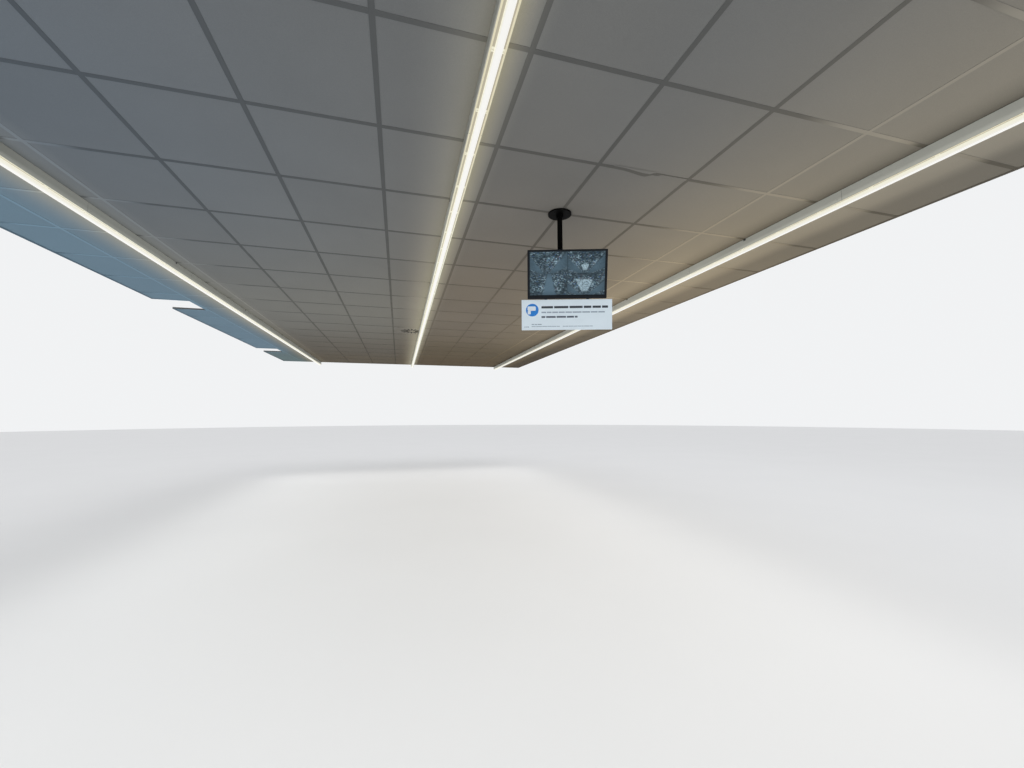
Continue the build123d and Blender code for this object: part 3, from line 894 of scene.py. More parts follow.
# %% Lit covers
cover_stops = [
    (0.0, (0.02, 0.02, 0.015, 1)), (0.20, (0.250, 0.220, 0.150, 1)),
    (0.34, (0.335, 0.310, 0.215, 1)), (0.52, (0.500, 0.485, 0.350, 1)),
    (0.70, (0.625, 0.605, 0.500, 1)), (0.95, (0.625, 0.620, 0.600, 1)),
]
cover_finish, tree, shader = finish_of("lit_opal_cover", (0.16, 0.155, 0.14, 1), 0.4)
glow = add(tree, "ShaderNodeAttribute", attribute_name="glow").outputs["Fac"]
_, y, _ = place_of(tree)
flat_angle_share = smooth_step(tree, y, near + 1.3, near + 3.6, 0.0, 0.24)
painted_flat_angle_light = times(tree, maths(tree, "SUBTRACT", 1.0, glow), flat_angle_share)
ramp = add(tree, "ShaderNodeValToRGB", {"Fac": maths(tree, "ADD", glow, painted_flat_angle_light)})
while len(ramp.color_ramp.elements) < len(cover_stops):
    ramp.color_ramp.elements.new(0.5)
for element, (place, colour) in zip(ramp.color_ramp.elements, cover_stops):
    element.position = place
    element.color = colour
tree.links.new(ramp.outputs["Color"], shader.inputs["Emission Color"])
shader.inputs["Emission Strength"].default_value = 1.2

for name in lights:
    shape, values = light_cover(name)
    cover = piece(f"light_cover_{name}", shape, cover_finish, smooth=True)
    layer = cover.data.attributes.new("glow", "FLOAT", "POINT")
    layer.data.foreach_set("value", values)
    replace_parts(cover, f"light_diffuser_{name}")

# %% [markdown]
# ## Seams, pins and screws of the lights
# A light line is several housings joined end to end. The joint shows as a hairline round
# the sides and the lips. A small pin beside it locks each housing to the next.

# %% Housing details
housing_pitch = 1.5
joint_width = 1.2 * mm
joint_proud = 0.15 * mm
joint_lip = 6.0 * mm
pin_from_joint = 30 * mm
pin_above_lip = 20 * mm


def housing_seams(low, high):
    """Thin dark strips wrapped round the section at every housing joint."""
    half = joint_proud / 2
    sides = []
    for edge, way in ((low.x, 1), (high.x, -1)):
        out, lip = edge - way * half, edge + way * joint_lip
        line = [(out, high.z - 1 * mm), (out, low.z - half), (lip, low.z - half)]
        sides.append(folded_sheet(line, joint_proud, -joint_width / 2, joint_width / 2))
    return joined(*sides)


head = [(0.1, 2.2), (1.3, 2.0), (1.9, 1.3), (2.0, 0.0)]
housing_pin = moved(turned(np.array(head) * mm, 12), Matrix.Rotation(math.pi / 2, 4, "Y"))
other_pin = moved(housing_pin, Matrix.Rotation(math.pi, 4, "Z"))
for name in lights:
    low, high = light_boxes[name]
    count = round((high.y - low.y) / housing_pitch)
    joints = low.y + (high.y - low.y) / count * np.arange(1, count)
    seams = repeated(housing_seams(low, high), grid_spots([0], joints, 0))
    piece(f"housing_seams_{name}", seams, black_and_shade_finish)
    pin_z = low.z + pin_above_lip
    pins = joined(
        repeated(housing_pin, grid_spots([high.x], joints + pin_from_joint, pin_z)),
        repeated(other_pin, grid_spots([low.x], joints + pin_from_joint, pin_z)))
    piece(f"housing_pins_{name}", pins, spring_finish, smooth=True)

# %% [markdown]
# A screw head is a low dome with a recess. At this scale a turned profile that dips in
# the middle is enough, and the same function serves every screw on the ceiling.

# %% Screw heads


def screw_head(radius, height, direction=(0, 0, 1)):
    """A domed head with a conical recess, turned round Z, then turned to a direction."""
    profile = [(0.04, 0.45), (0.30, 0.55), (0.42, 0.98), (0.62, 0.95), (0.85, 0.70),
               (1.0, 0.30), (1.0, 0.0)]
    return moved(turned(np.array(profile) * [radius, height], 16), facing(direction))


def facing(direction):
    """The turn that takes +Z to the given direction."""
    return Vector((0, 0, 1)).rotation_difference(Vector(direction)).to_matrix().to_4x4()


cap_low, cap_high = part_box("light_end_caps")
cap_screws = []
for name in lights:
    x, bottom = light_x[name], light_boxes[name][0].z
    for end, direction in ((cap_low.y, (0, -1, 0)), (cap_high.y, (0, 1, 0))):
        spots = [(x - 20 * mm, end, bottom + 12 * mm), (x + 20 * mm, end, bottom + 34 * mm)]
        cap_screws.append(repeated(screw_head(3.2 * mm, 1.8 * mm, direction), spots))
piece("end_cap_screws", joined(*cap_screws), screw_zinc, smooth=True)

# %% [markdown]
# ## The grid seen from above
# Above the tiles the T-bars show their works: oval slots through the runners, the bent
# tongues of the cross tees that lock through them, and splice plates where two lengths of
# runner meet. All of them repeat with the module, so each is one small shape copied to an
# array of places.

# %% Runner slots
web_half = 0.75 * mm
slot_pitch = module / 4
slot_z = bar_top - 16.0 * mm
half_turn = Matrix.Rotation(math.pi, 4, "Z")
outline = rounded_outline(16 * mm, 6 * mm, 2.99 * mm, 3)
# The slots are not cut: each is a thin dark oval laid on both faces of the web, painted shade in place of the
# hole.
slot_shade_mark = skin(upright_rings([(0.0, outline), (0.1 * mm, outline)]))
slot_shade_mark = moved(slot_shade_mark, Matrix.Rotation(-math.pi / 2, 4, "Z"))
along = np.arange(first_y - module / 2, hall_high.y - slot_pitch, slot_pitch)
along = along[np.abs((along - first_y) / module % 1) > 0.1]
spots = grid_spots(lines_x, along, slot_z)
slots = joined(repeated(slot_shade_mark, spots + [web_half, 0, 0]),
               repeated(moved(slot_shade_mark, half_turn), spots - [web_half, 0, 0]))
piece("runner_slot_shades", slots, black_and_shade_finish)

# %% [markdown]
# Each tongue passes through the runner's web and shows on the far side. It is a small
# folded sheet. There is none where a notch at the edge takes the place of a cross tee.

# %% Cross tee tongues
tongue_length = 9.0 * mm
tongue_shift = 2.0 * mm
tongue_z = bar_top - 13.0 * mm
tongue_line = [(0, 0), (5.5 * mm, 0), (tongue_length, 1.6 * mm)]
tongue = folded_sheet(tongue_line, 0.8 * mm, 0, 7 * mm)
tongue = moved(tongue, Matrix.Rotation(math.pi / 2, 4, "X"))
openings = frame["record"]["physics"]["openings"]
notch_boxes = [opening["box_m"] for opening in openings if "pier" in opening["name"]]
notch_middles = [(low[1] + high[1]) / 2 for low, high in notch_boxes]


def clear_of_notches(places, gap):
    """Those places along the hall that are further than the gap from every notch."""
    return places[np.all([np.abs(places - middle) > gap for middle in notch_middles], axis=0)]


right_spots = np.concatenate([
    grid_spots(lines_x[:1], clear_of_notches(lines_y, 0.30), tongue_z),
    grid_spots(lines_x[1:], lines_y, tongue_z)]) + [web_half, tongue_shift, 0]
left_spots = grid_spots(lines_x, lines_y, tongue_z) - [web_half, tongue_shift, 0]
tongues = joined(repeated(tongue, right_spots), repeated(moved(tongue, half_turn), left_spots))
piece("cross_tee_tongues", tongues, screw_zinc)

# %% [markdown]
# A runner comes in lengths of 3.75 m. Where two of them meet, a small plate with four
# rivets bridges their webs. Neighbouring runners have their joints at different places.

# %% Runner splices
splice_pitch = 6 * module
splice_sheet = 1.2 * mm
splice = box_shape((0, -30 * mm, -7 * mm), (splice_sheet, 30 * mm, 5 * mm))
rivet_spots = [(splice_sheet, step * mm, -1 * mm) for step in (-22, -8, 8, 22)]
splice = joined(splice, repeated(screw_head(2.0 * mm, 1.0 * mm, (1, 0, 0)), rivet_spots))
spots = []
for number, x in enumerate(lines_x):
    start = first_y + (2.5 + 2 * (number % 3)) * module
    ends = np.arange(start, hall_high.y - module, splice_pitch)
    spots.append(grid_spots([x + web_half], ends, slot_z))
piece("runner_splices", repeated(splice, np.concatenate(spots)), screw_zinc)

# %% [markdown]
# ## Hangers
# The ceiling hangs on two-part hangers. The lower plate clips round the runner's bulb, the
# upper strap hangs from a bracket on the soffit, and two pins through a ladder of holes
# join them, so that the height can be set hole by hole. The holes are real: each cell of
# the strap is a ring between a rectangle and a circle, front and back.

# %% Perforated strip


def perforated_strip(width, pitch, count, radius, thickness):
    """A strip across Y and up Z with round holes, made of cells with four points a side.

    In each cell the outer points lie on the rectangle and the inner ones on the circle, at
    the same angles. Walls are kept inside the holes and round the strip's own outline.
    """
    side = np.linspace(-1, 1, 5)[:-1]
    square = np.concatenate([
        np.stack([side, -np.ones(4)], axis=1), np.stack([np.ones(4), side], axis=1),
        np.stack([-side, np.ones(4)], axis=1), np.stack([-np.ones(4), -side], axis=1),
    ])
    outer = square * [width / 2, pitch / 2]
    angle = np.arctan2(outer[:, 1], outer[:, 0])
    inner = radius * np.stack([np.cos(angle), np.sin(angle)], axis=1)
    rings = np.empty((4, 16, 3))
    for ring, (outline, depth) in zip(
        rings, ((outer, 0), (inner, 0), (inner, thickness), (outer, thickness))
    ):
        ring[:, 1:] = outline
        ring[:, 0] = depth
    index = np.arange(64).reshape(4, 16)
    ahead = np.roll(index, -1, axis=1)
    skins = np.stack([index[:3], ahead[:3], ahead[1:], index[1:]], axis=-1).reshape(-1, 4)
    wall = np.stack([index[3], ahead[3], ahead[0], index[0]], axis=-1)
    middle = (square + np.roll(square, -1, axis=0)) / 2
    long_sides = wall[np.abs(middle[:, 0]) > 0.99]
    places = np.zeros((count, 3))
    places[:, 2] = (np.arange(count) + 0.5) * pitch
    no_tris = np.zeros((0, 3), int)
    body = repeated((rings.reshape(-1, 3), np.concatenate([skins, long_sides]), no_tris), places)
    foot = wall[middle[:, 1] < -0.99]
    head = wall[middle[:, 1] > 0.99] + 64 * (count - 1)
    return body[0], np.concatenate([body[1], foot, head]), body[2]


print("strip cell", 16, "sides a hole")

# %% [markdown]
# The places of the hangers come from the frame: the brackets' node says where the first
# and the last stand, and the runners give the lines between.

# %% Hangers
main_x = np.array([centre_of(f"main_runner_{number}").x for number in range(1, 6)])
bracket_low, bracket_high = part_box("soffit_brackets")
hanger_width = 24 * mm
hanger_step = 5 * module
hanger_sheet = 1 * mm
hanger_y = np.arange(bracket_low.y + hanger_width / 2, bracket_high.y, hanger_step)
at_hangers = grid_spots(main_x, hanger_y, 0.0)
clip_low, clip_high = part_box("hanger_clips")
strap_low, strap_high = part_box("hanger_straps")
bulb_half = 3 * mm
hole_pitch = 10 * mm
hole_radius = 2.6 * mm


def strip_between(low, high, face):
    """A perforated strip that fills a height, with as many whole cells as fit."""
    count = round((high - low) / hole_pitch)
    strip = perforated_strip(
        hanger_width, (high - low) / count, count, hole_radius, hanger_sheet)
    return moved(strip, Matrix.Translation((face, 0, low)))


clip_line = np.array([
    (1.3, -8.6), (3.5, -8.6), (3.5, 0.6), (-3.6, 0.6), (-3.6, -8.6), (-1.3, -8.6)]) * mm
bulb_clip = folded_sheet(clip_line, 0.8 * mm, -hanger_width / 2, hanger_width / 2)
bulb_clip = moved(bulb_clip, Matrix.Translation((0, 0, bar_top)))
lower_plate = strip_between(clip_low.z, clip_high.z, bulb_half)
clips = repeated(joined(lower_plate, bulb_clip), at_hangers)
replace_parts(piece("hanger_lower_plates", clips, sheet_zinc), "hanger_clips")

upper_strap = strip_between(strap_low.z, strap_high.z, bulb_half + hanger_sheet)
straps = repeated(upper_strap, at_hangers)
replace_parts(piece("hanger_upper_straps", straps, sheet_zinc), "hanger_straps")

# %% [markdown]
# The pins are bent wire with round ends. The bracket is one folded strip of sheet, and the
# head of its anchor and a washer show below its flat top.

# %% Pins and brackets
pin_profile = np.array([(0.1, 0), (0.9, 0.4), (1.3, 1.2), (1.3, 9.8), (0.9, 10.6), (0.1, 11)])
pin = moved(turned(pin_profile * mm, 10), Matrix.Rotation(math.pi / 2, 4, "Y"))
pin_z = [strap_low.z + 2.5 * hole_pitch, strap_low.z + 3.5 * hole_pitch,
         strap_high.z - 1.5 * hole_pitch]
pins = repeated(repeated(pin, [(-1.0 * mm, 0, z) for z in pin_z]), at_hangers)
piece("hanger_pins", pins, screw_zinc, smooth=True)

bracket_sheet = 1.5 * mm
leg_x = bulb_half + 2 * mm + bracket_sheet / 2
reach_x = bracket_low.x - main_x[0]
bracket_line = [
    (reach_x, -bracket_sheet / 2), (leg_x - 3 * mm, -bracket_sheet / 2),
    (leg_x - 0.9 * mm, -1.6 * mm), (leg_x, -3.8 * mm), (leg_x, bracket_low.z),
]
bracket = folded_sheet(bracket_line, bracket_sheet, -hanger_width / 2, hanger_width / 2)
anchor_profile = np.array([
    (0.1, -9), (2.5, -8.8), (5.0, -8.2), (5.0, -3.2), (8.5, -3.0), (8.5, -1.5)])
anchor = moved(turned(anchor_profile * mm, 6), Matrix.Translation((-7.0 * mm, 0, 0)))
brackets = repeated(joined(bracket, anchor), at_hangers)
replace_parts(piece("hanger_brackets", brackets, sheet_zinc), "soffit_brackets")

# %% [markdown]
# ## Fixings of the wall angles
# The wall angles are held by pins through their upright leg, above the tiles.

# %% Angle pins
pin_z = ceiling_z + 19 * mm
angle_sheet = 1.5 * mm
pin_step = 0.4
first_pin = 0.2
pins_y = np.arange(hall_low.y + first_pin, hall_high.y, pin_step)
pins_x = np.arange(hall_low.x + first_pin, hall_high.x, pin_step)


def pins_along(xs, ys, direction):
    """Heads at every x and y of the two lists, all looking one way."""
    return repeated(screw_head(3.2 * mm, 1.6 * mm, direction), grid_spots(xs, ys, pin_z))


angle_pins = joined(
    pins_along([hall_low.x + angle_sheet], clear_of_notches(pins_y, 0.29), (1, 0, 0)),
    pins_along([hall_high.x - angle_sheet], pins_y, (-1, 0, 0)),
    pins_along(pins_x, [hall_low.y + angle_sheet], (0, 1, 0)),
    pins_along(pins_x, [hall_high.y - angle_sheet], (0, -1, 0)),
)
piece("angle_pins", angle_pins, screw_zinc, smooth=True)

# %% [markdown]
# ## A damaged bar
# One cross bar has been knocked: its painted face is bent aside, and the torn fleece of the
# tile behind hangs over the rest of it. Both are flat bands along the bar, so one grid form
# serves them: two edges and their drops below the grid, each an array over the length. The
# bend is a bell curve, exp(-(distance / width) ** 2), that is wide before its peak and
# narrow after it.

# %% Damaged bar


def flat_band(x, near_edge, far_edge, near_drop, far_drop, sheet):
    """A thin band along X between two edges, each with its own drop below the grid."""
    edges = [np.broadcast_to(edge, x.shape) for edge in (near_edge, far_edge)]
    drops = [np.broadcast_to(drop, x.shape) for drop in (near_drop, far_drop)]
    rings = np.empty((len(x), 4, 3))
    rings[:, :, 0] = x.reshape(-1, 1)
    rings[:, :, 1] = np.stack([edges[0], edges[1], edges[1], edges[0]], axis=1)
    levels = [drops[0] + sheet, drops[1] + sheet, drops[1], drops[0]]
    rings[:, :, 2] = ceiling_z - np.stack(levels, axis=1)
    return skin(rings)


def bell(x, peak, before, after):
    """exp(-(distance / width) ** 2), with one width before the peak and one after it."""
    return np.exp(-((x - peak) / np.where(x < peak, before, after)) ** 2)


def ramp_up(x, start, length):
    """A smooth step from 0 to 1: 3 t ** 2 - 2 t ** 3, where t is the share of the length."""
    t = np.clip((x - start) / length, 0, 1)
    return 3 * t ** 2 - 2 * t ** 3


def knocked(x):
    """How much the bar is pushed aside at each place, and how much it is torn."""
    push = bell(x, bar_start + 313 * mm, 110 * mm, 32 * mm)
    return push, bell(x, bar_start + 340 * mm, 12 * mm, 12 * mm)


print("band maker ready")

# %% [markdown]
# The bar's face starts where the next bar ends and tapers out behind the tear. The fleece
# shows as two strips: one along the pushed edge, and one beyond the tear, with a ragged
# edge made of two sine waves.

# %% Bent face and fleece
bar_start, bar_y = lines_x[6] + bar_width / 2, lines_y[2]
near_side, far_side = bar_y - bar_width / 2, bar_y + bar_width / 2
x = np.linspace(bar_start + 45 * mm, bar_start + 430 * mm, 56)
push, torn = knocked(x)
narrow = ramp_up(x, bar_start + 345 * mm, 70 * mm) * (bar_width - 5 * mm)
face = flat_band(
    x, near_side + 20 * mm * push + 11 * mm * torn, far_side + 19 * mm * push - narrow,
    0.4 * mm + 0.6 * mm * push, 0.4 * mm + 5 * mm * push, 0.5 * mm)
piece("bent_bar_face", face, bar_finish, smooth=True)

x = np.linspace(bar_start + 80 * mm, bar_start + 370 * mm, 44)
push, torn = knocked(x)
fleece_near = flat_band(
    x, near_side - 9 * mm, near_side - 0.5 * mm + 21 * mm * push + 11 * mm * torn,
    0.2 * mm, 0.2 * mm + 0.5 * mm * push, 0.3 * mm)
torn_end = bar_start + 372 * mm
x = np.linspace(torn_end, bar_start + module - bar_width, 40)
taper = ramp_up(x, torn_end, 60 * mm) * (bar_width - 6 * mm)
ragged = 0.8 * mm * np.sin(x * 190) + 0.5 * mm * np.sin(x * 431)
fleece_far = flat_band(
    x, far_side - taper + ragged, far_side + 1.5 * mm, 1.0 * mm, 1.0 * mm, 0.4 * mm)
piece("loose_fleece", joined(fleece_near, fleece_far), tile_finish, smooth=True)

# %% [markdown]
# ## The air diffuser
# The swirl panel is a pressed sheet, so its outline carries a shallow bead and its middle
# a capped screw. The box above it is folded from flat sheet: its seams are strips riveted
# along every upright corner, and two rolled beads stiffen the round spigot that takes the
# duct. A torus makes a bead: a small circle carried round a large one.

# %% Swirl panel details
swirl_low, swirl_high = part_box("swirl_panel")
swirl_middle = (swirl_low + swirl_high) / 2
panel_z = ceiling_z + 1.2 * mm
at_panel = Matrix.Translation((swirl_middle.x, swirl_middle.y, panel_z))


def hanging_ridge(outlines):
    """Outlines of (x, y) points at given heights, joined round into a closed ridge."""
    rings = np.empty((len(outlines), len(outlines[0][1]), 3))
    for ring, (level, outline) in zip(rings, outlines):
        ring[:, :2] = outline
        ring[:, 2] = level
    return loop_skin(rings)


bead_size, bead_radius, bead_height, bead_width = 0.520, 0.02, 1.0 * mm, 8 * mm
profile = [(-0.5, 0.0), (-0.3, -0.8), (0.0, -1.0), (0.3, -0.8), (0.5, 0.0)]
outlines = []
for across, level in profile:
    side = bead_size + across * bead_width * 2
    outlines.append((level * bead_height, rounded_outline(side, side, bead_radius, 8)))
piece("swirl_panel_bead", moved(hanging_ridge(outlines), at_panel), swirl_finish,
      smooth=True)
cap = turned(np.array([(0.04, -0.9), (6, -1.6), (9, -1.2), (10, 0)]) * mm, 24)
piece("swirl_screw_cap", moved(cap, at_panel), cap_finish, smooth=True)

# %% [markdown]
# Each slot's vane sits in a black plastic frame that clips in from below, so the slots look
# wider and darker than their cuts. A frame is four rounded outlines joined round, one slot
# long, and the sixteen stand in a ring.

# %% Slot frames
slot_length, slot_width, slot_radius, slot_count = 115 * mm, 14 * mm, 127.5 * mm, 16
frame_width, frame_drop, frame_edge, frame_corner = 4.5 * mm, 0.6 * mm, 0.5 * mm, 1.0 * mm
outlines = []
for wider, level in ((0.0, 0.0), (0.3 * mm, -frame_drop),
                     (frame_width - frame_edge, -frame_drop), (frame_width, 0.0)):
    outlines.append((level, rounded_outline(
        slot_length + 2 * wider, slot_width + 2 * wider, frame_corner + wider)))
one_frame = moved(hanging_ridge(outlines), Matrix.Translation((slot_radius, 0, 0)))
turns = [Matrix.Rotation(2 * math.pi * step / slot_count, 4, "Z") for step in range(slot_count)]
frames = joined(*[moved(one_frame, turn) for turn in turns])
piece("slot_frames", moved(frames, at_panel), black_and_shade_finish)

# %% [markdown]
# The round spigot at the box's far side carries two rolled beads that keep the duct from
# slipping off, and a flat ring where it meets the box. A bead is a small circle carried
# round a large one, and the ring is the same form, pressed flat along the spigot.

# %% Air box details
box_low, box_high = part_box("plenum_box")
spigot_mount = next(m for m in frame["record"]["mounts"] if m["name"] == "duct_spigot")
spigot = Vector(spigot_mount["pos_m"])
spigot_radius = spigot_mount["dims"]["r_mm"] * mm
box_far = spigot.y - spigot_mount["dims"]["length_mm"] * mm / 2


def torus(large, small, around=48, about=8):
    """A circle of radius small carried round a circle of radius large, about Y."""
    u = np.linspace(0, 2 * math.pi, around, endpoint=False).reshape(-1, 1)
    v = np.linspace(0, 2 * math.pi, about, endpoint=False)
    out = large + small * np.cos(v)
    rings = np.stack([out * np.cos(u), small * np.sin(v) + 0 * u, out * np.sin(u)], axis=-1)
    return loop_skin(rings)


bead_spots = [(spigot.x, box_far + 16 * mm, spigot.z), (spigot.x, box_far + 46 * mm, spigot.z)]
beads = repeated(torus(spigot_radius, 2.2 * mm), bead_spots)
flange_ring = moved(torus(spigot_radius + 3 * mm, 3.0 * mm), Matrix.Diagonal((1, 0.3, 1, 1)))
flange_ring = moved(flange_ring, Matrix.Translation((spigot.x, box_far + 0.9 * mm, spigot.z)))
piece("spigot_beads", joined(beads, flange_ring), sheet_zinc, smooth=True)

# %% [markdown]
# Along each upright corner of the box a folded strip is riveted over the seam. It is a
# line with one corner in plan, carried up the height of the box.

# %% Air box seams
strip_width = 18 * mm
strip_sheet = 0.8 * mm
rivet_pitch = 48 * mm
upright = Matrix(((1, 0, 0, 0), (0, 0, 1, 0), (0, 1, 0, box_low.z), (0, 0, 0, 1)))
levels = np.arange(box_low.z + 30 * mm, box_high.z, rivet_pitch)
half = strip_sheet / 2
corners = []
for x, inward in ((box_low.x, 1), (box_high.x, -1)):
    for y, deeper in ((box_low.y, 1), (box_far, -1)):
        line = [
            (x + inward * strip_width, y - deeper * half),
            (x - inward * half, y - deeper * half),
            (x - inward * half, y + deeper * strip_width),
        ]
        strip = folded_sheet(line, strip_sheet, 0, box_high.z - box_low.z)
        rivet = screw_head(2.4 * mm, 1.2 * mm, (0, -deeper, 0))
        spots = [(x + inward * strip_width * 0.6, y - deeper * strip_sheet, z) for z in levels]
        corners += [moved(strip, upright), repeated(rivet, spots)]
piece("air_box_seams", joined(*corners), sheet_zinc)

# %% [markdown]
# The air comes in on one side, so a deflector stands in front of the inlet and spreads it
# over the whole face. It is one folded sheet that hangs from the box's top, with a shelf
# turned towards the inlet at its foot. Its front and its underside are painted black as
# shade, like the box's inside, so nothing bright shows between the vanes from below.

# %% Air box deflector
deflector_half = 210 * mm
front_y = box_far - 115 * mm
shelf_z = panel_z + 24 * mm
shelf_y = front_y + 90 * mm
line = [(front_y, box_high.z - 1.2 * mm), (front_y, shelf_z), (shelf_y, shelf_z)]
deflector = folded_sheet(line, 1.0 * mm, spigot.x - deflector_half, spigot.x + deflector_half)
turned_across = Matrix(((0, 1, 0, 0), (1, 0, 0, 0), (0, 0, 1, 0), (0, 0, 0, 1)))
piece("air_box_deflector", moved(deflector, turned_across), box_zinc)

# %% [markdown]
# ## The screen's mount
# The flange is held by three countersunk screws, the pole by a grub screw in its collar,
# and the tilt hinge by a bolt with a washer and a nut on each side. The parts that turn
# with the pole's head ride on the swivel body, those on the plate ride on the screen's.

# %% Flange, head and bracket fixings
_, flange_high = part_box("ceiling_flange")
plate_z = flange_high.z - 10 * mm
turns = np.radians([90, 210, 330])
spots = np.stack([np.cos(turns), np.sin(turns), 0 * turns], axis=1) * 60 * mm
flange_screws = repeated(
    screw_head(5 * mm, 1.4 * mm, (0, 0, -1)), spots + [pole.x, pole.y, plate_z])
collar_screw = repeated(
    screw_head(3 * mm, 2.0 * mm, (0, -1, 0)), [(pole.x, pole.y - 26.8 * mm, plate_z - 13 * mm)])
piece("flange_screws", joined(flange_screws, collar_screw), black_finish,
      smooth=True)

nut_profile = np.array([(0.1, 5.0), (4.6, 5.0), (6.4, 4.3), (6.4, 0.0)]) * mm
washer_profile = np.array([(0.1, 1.0), (7.6, 1.0), (8.0, 0.8), (8.0, 0.0)]) * mm
nut = joined(
    moved(turned(nut_profile, 6), Matrix.Translation((0, 0, 1 * mm))), turned(washer_profile, 24))
head_half, head_play, ear_sheet, nut_play = 15 * mm, 0.3 * mm, 3 * mm, 0.1 * mm
ear_face = head_half + head_play + ear_sheet + nut_play
nuts = []
for side in (-1, 1):
    on_side = head_axes @ Matrix.Translation((side * ear_face, 0, 0)) @ facing((side, 0, 0))
    nuts.append(moved(nut, on_side))
piece("pivot_nuts", joined(*nuts), screw_zinc, body="swivel")

plate_spots = [(20 * mm + x * mm, -14.5 * mm, z * mm) for x in (-75, 75) for z in (-40, 40)]
plate_screws = moved(
    repeated(screw_head(4 * mm, 2.4 * mm, (0, 1, 0)), plate_spots), screen_axes)
piece("plate_screws", plate_screws, screw_zinc, body="screen", smooth=True)

# %% [markdown]
# ## The screen
# A flat screen's case is a thin tray with softly rounded edges and a raised box behind for
# its boards. The shape is a row of rounded rectangles at growing depth: from the recess for
# the glass, over the bezel and its rounded edge, along the side, and in to the raised box.
# It is built upright in the screen's own axes, then turned to its place.

# %% Screen case


def own_box(node, axes):
    """Lowest and highest corner of a node, measured in the given axes."""
    mesh = nodes[node].data
    places = np.zeros(len(mesh.vertices) * 3)
    mesh.vertices.foreach_get("co", places)
    inverse = np.array(axes.inverted())
    own = places.reshape(-1, 3) @ inverse[:3, :3].T + inverse[:3, 3]
    return own.min(axis=0), own.max(axis=0)


case_low, case_high = own_box("screen_case", screen_axes)
glass_low, glass_high = own_box("screen_glass", screen_axes)
case_width, _, case_height = case_high - case_low
case_x, _, case_z = (case_low + case_high) / 2
glass_size = glass_high - glass_low
glass_x, _, glass_z = (glass_low + glass_high) / 2
front, rear = case_low[1], case_high[1]
rim_depth = 20 * mm
back = front + rim_depth
bulge_width, bulge_height = 400 * mm, 230 * mm
glass_play = 0.3 * mm


def rectangle_at(x, z, width, height, radius):
    """A rounded outline about a given middle."""
    return rounded_outline(width, height, radius) + [x, z]


def inset(depth, cut, radius, width=case_width, height=case_height):
    """The case's outline, or the raised box's, made smaller by a cut on every side."""
    return depth, rectangle_at(case_x, case_z, width - 2 * cut, height - 2 * cut, radius)


def raised(depth, cut, radius):
    """The outline of the raised box, made smaller by a cut on every side."""
    return inset(depth, cut, radius, bulge_width, bulge_height)


def round_glass(depth, play, radius):
    """The glass's outline, made larger by a play on every side."""
    wide, tall = glass_size[0] + 2 * play, glass_size[2] + 2 * play
    return depth, rectangle_at(glass_x, glass_z, wide, tall, radius)


sections = [
    round_glass(front + 2.2 * mm, glass_play, 1.5 * mm),
    round_glass(front + 0.4 * mm, glass_play, 1.5 * mm), round_glass(front, 1 * mm, 2 * mm),
    inset(front, 1.6 * mm, 4.4 * mm), inset(front + 0.5 * mm, 0.5 * mm, 5.5 * mm),
    inset(front + 1.6 * mm, 0, 6 * mm), inset(back - 3 * mm, 0, 6 * mm),
    inset(back - 0.9 * mm, 0.9 * mm, 5 * mm), inset(back, 3 * mm, 4 * mm),
    raised(back, 0, 16 * mm), raised(rear - 4 * mm, 14.5 * mm, 14 * mm),
    raised(rear - 1 * mm, 17 * mm, 12 * mm), raised(rear, 21 * mm, 9 * mm),
]
case_shape = moved(skin(upright_rings(sections)), screen_axes)
case = piece("screen_shell", case_shape, case_finish, "screen", smooth=True)
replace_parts(case, "screen_case")
print("screen", round(case_width, 3), "by", round(case_height, 3))

# %% [markdown]
# Warm air leaves through rows of slots near the raised box's top edge. Each slot is a thin
# dark oval laid on the sheet, painted shade in place of the opening, 13 side by side in
# three rows.

# %% Screen vents
vent = rounded_outline(22 * mm, 3 * mm, 1.49 * mm, 4)
vent_shade_shape = skin(upright_rings([(0.0, vent), (0.25 * mm, vent)]))
columns = case_x + np.arange(-6, 7) * 26 * mm
levels = case_z + 58 * mm + np.arange(3) * 8 * mm
spots = [(x, rear, z) for x in columns for z in levels]
vents = moved(repeated(vent_shade_shape, spots), screen_axes)
piece("screen_vent_shades", vents, black_and_shade_finish, "screen")

# %% [markdown]
# ## The picture on the screen
# The screen shows four dim views from overhead cameras, in blue-grey. None of them needs
# to be a real place: aisles that run to a corner, stacks of mottled boxes between them and
# a few bright specks are enough. Each view is drawn in angle and distance from a point at
# its edge, so that floors become wedges and boxes shrink along them, as in perspective.
# The glass has its own UV map from 0 to 1, so the picture turns with the screen.

# %% Picture: the four views
picture, tree, shader = finish_of("camera_views", (0.012, 0.014, 0.016, 1), 0.16)
uv = add(tree, "ShaderNodeUVMap", uv_map="picture").outputs[0]
split = add(tree, "ShaderNodeSeparateXYZ", {0: uv})
twice_u = times(tree, split.outputs[0], 2.0)
twice_v = times(tree, split.outputs[1], 2.0)
u = maths(tree, "FRACT", twice_u)
v = maths(tree, "FRACT", twice_v)
on_right = maths(tree, "FLOOR", twice_u)
on_top = maths(tree, "FLOOR", twice_v)


def by_view(lower_left, lower_right, upper_left, upper_right):
    """One number for each of the four views, chosen by the halves of the picture."""
    lower = remap(tree, on_right, 0, 1, lower_left, lower_right)
    upper = remap(tree, on_right, 0, 1, upper_left, upper_right)
    return remap(tree, on_top, 0, 1, lower, upper)


def off(value, middle):
    """The distance of a value from a middle, without its sign."""
    return maths(tree, "ABSOLUTE", maths(tree, "SUBTRACT", value, middle))


